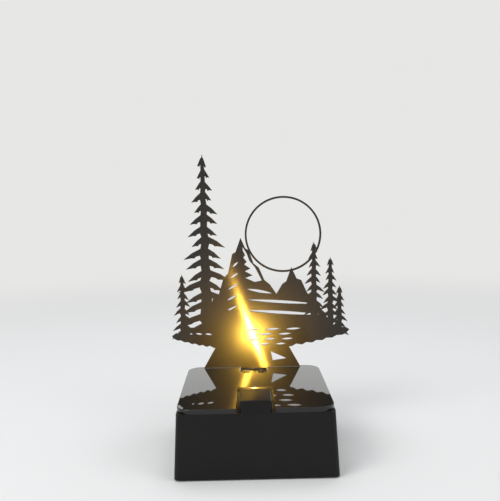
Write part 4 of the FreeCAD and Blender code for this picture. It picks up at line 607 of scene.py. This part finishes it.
for names, dark, light in (
        (("switch_lead", "lamp_lead"), (0.36, 0.010, 0.008), (0.50, 0.020, 0.014)),
        (("return_lead",), (0.012, 0.012, 0.012), (0.024, 0.024, 0.024))):
    pvc, shader, at = finish(f"insulation of {names[0]}", IOR=1.5)
    lay = at.noise(700, 2)
    feed(shader, Base_Color=lay.blend(dark, light), Roughness=0.34 + 0.12 * lay,
         Normal=at.noise(1600, 2).bump(0.02 * mm, 0.3))
    for name in names:
        dressed(node[name], pvc)

# Studio: a wide round floor that the lamp stands on, pale like the room, which takes over from it
# where it ends, soft light from large panels, and the camera where the photograph was taken from.

pale = (0.80, 0.80, 0.79, 1)
fade_start, fade_end = 0.35, 1.1
reach = np.linspace(0.02, 4.0, 40)
turns = np.linspace(0, 2 * math.pi, 96, endpoint=False)
floor_points = np.stack([np.outer(reach, np.cos(turns)), np.outer(reach, np.sin(turns)),
                         np.zeros((reach.size, turns.size))], axis=-1)
floor = bpy.data.objects.new("floor", laid("floor", floor_points, end_pole=False))
bpy.context.scene.collection.objects.link(floor)


def seen(wire):
    """1 on the rays that show the background: from the camera, off gloss, through clear pieces."""
    camera_ray, gloss_ray, clear_ray = (
        wire.add("ShaderNodeLightPath", None, None, f"Is {kind} Ray")
        for kind in ("Camera", "Glossy", "Transmission"))
    return camera_ray.most(gloss_ray).most(clear_ray)


paper, shader, at = finish("pale paper", Base_Color=pale, Roughness=0.9)
far = (at.part("X") ** 2 + at.part("Y") ** 2) ** 0.5
horizon = at.add("ShaderNodeEmission", None, {"Color": pale})
blended = at.add("ShaderNodeMixShader", None, {
    0: seen(at) * far.step(fade_start, fade_end), 1: Wire(shader.outputs[0]), 2: horizon})
at.tree.links.new(blended.socket, at.tree.nodes["Material Output"].inputs["Surface"])
dressed(floor, paper)

world = bpy.data.worlds.new("soft room")
world.use_nodes = True
bpy.context.scene.world = world
room = Wire(world.node_tree.nodes["Background"].outputs[0])
room.socket.node.inputs["Color"].default_value = (0.93, 0.95, 1.0, 1)
room.socket.node.inputs["Strength"].default_value = 0.45
shown = room.add("ShaderNodeMixShader", None, {
    0: seen(room), 1: room, 2: room.add("ShaderNodeBackground", None, {"Color": pale})})
room.tree.links.new(shown.socket, room.tree.nodes["World Output"].inputs["Surface"])


def soft_panel(name, place, aim, width, height, watts, mirrored=True):
    light = bpy.data.lights.new(name, "AREA")
    light.shape = "RECTANGLE"
    light.size, light.size_y, light.energy = width, height, watts
    lamp_stand = bpy.data.objects.new(name, light)
    lamp_stand.visible_glossy = mirrored
    lamp_stand.location = place
    lamp_stand.rotation_mode = "QUATERNION"
    lamp_stand.rotation_quaternion = (Vector(aim) - Vector(place)).to_track_quat("-Z", "Y")
    bpy.context.scene.collection.objects.link(lamp_stand)


soft_panel("key", (-0.9, -0.7, 1.1), (0, 0, 0.1), 0.8, 0.8, 10)
soft_panel("fill", (1.1, -0.6, 0.7), (0, 0, 0.1), 0.8, 0.8, 4)
# The sheet would mirror the overhead panel as a grey veil, so gloss doesn't show it.
soft_panel("overhead", (0, 0.25, 1.3), (0, 0.05, 0), 1.0, 0.8, 6, mirrored=False)

camera_place, roll, pitch, swing = (-4.4, -428.1, 174.4), -1.16, 85.32, -0.42
camera = bpy.data.objects.new("camera", bpy.data.cameras.new("camera"))
camera.data.sensor_fit = "HORIZONTAL"
camera.data.lens = 45.0
camera.data.clip_start, camera.data.clip_end = 0.01, 20.0
turn = (Matrix.Rotation(math.radians(swing), 4, "Z") @ Matrix.Rotation(math.radians(pitch), 4, "X")
        @ Matrix.Rotation(math.radians(roll), 4, "Z"))
camera.matrix_world = Matrix.Translation(Vector(camera_place) * mm) @ turn
bpy.context.scene.collection.objects.link(camera)
bpy.context.scene.camera = camera
bpy.context.scene.view_settings.view_transform = "Standard"
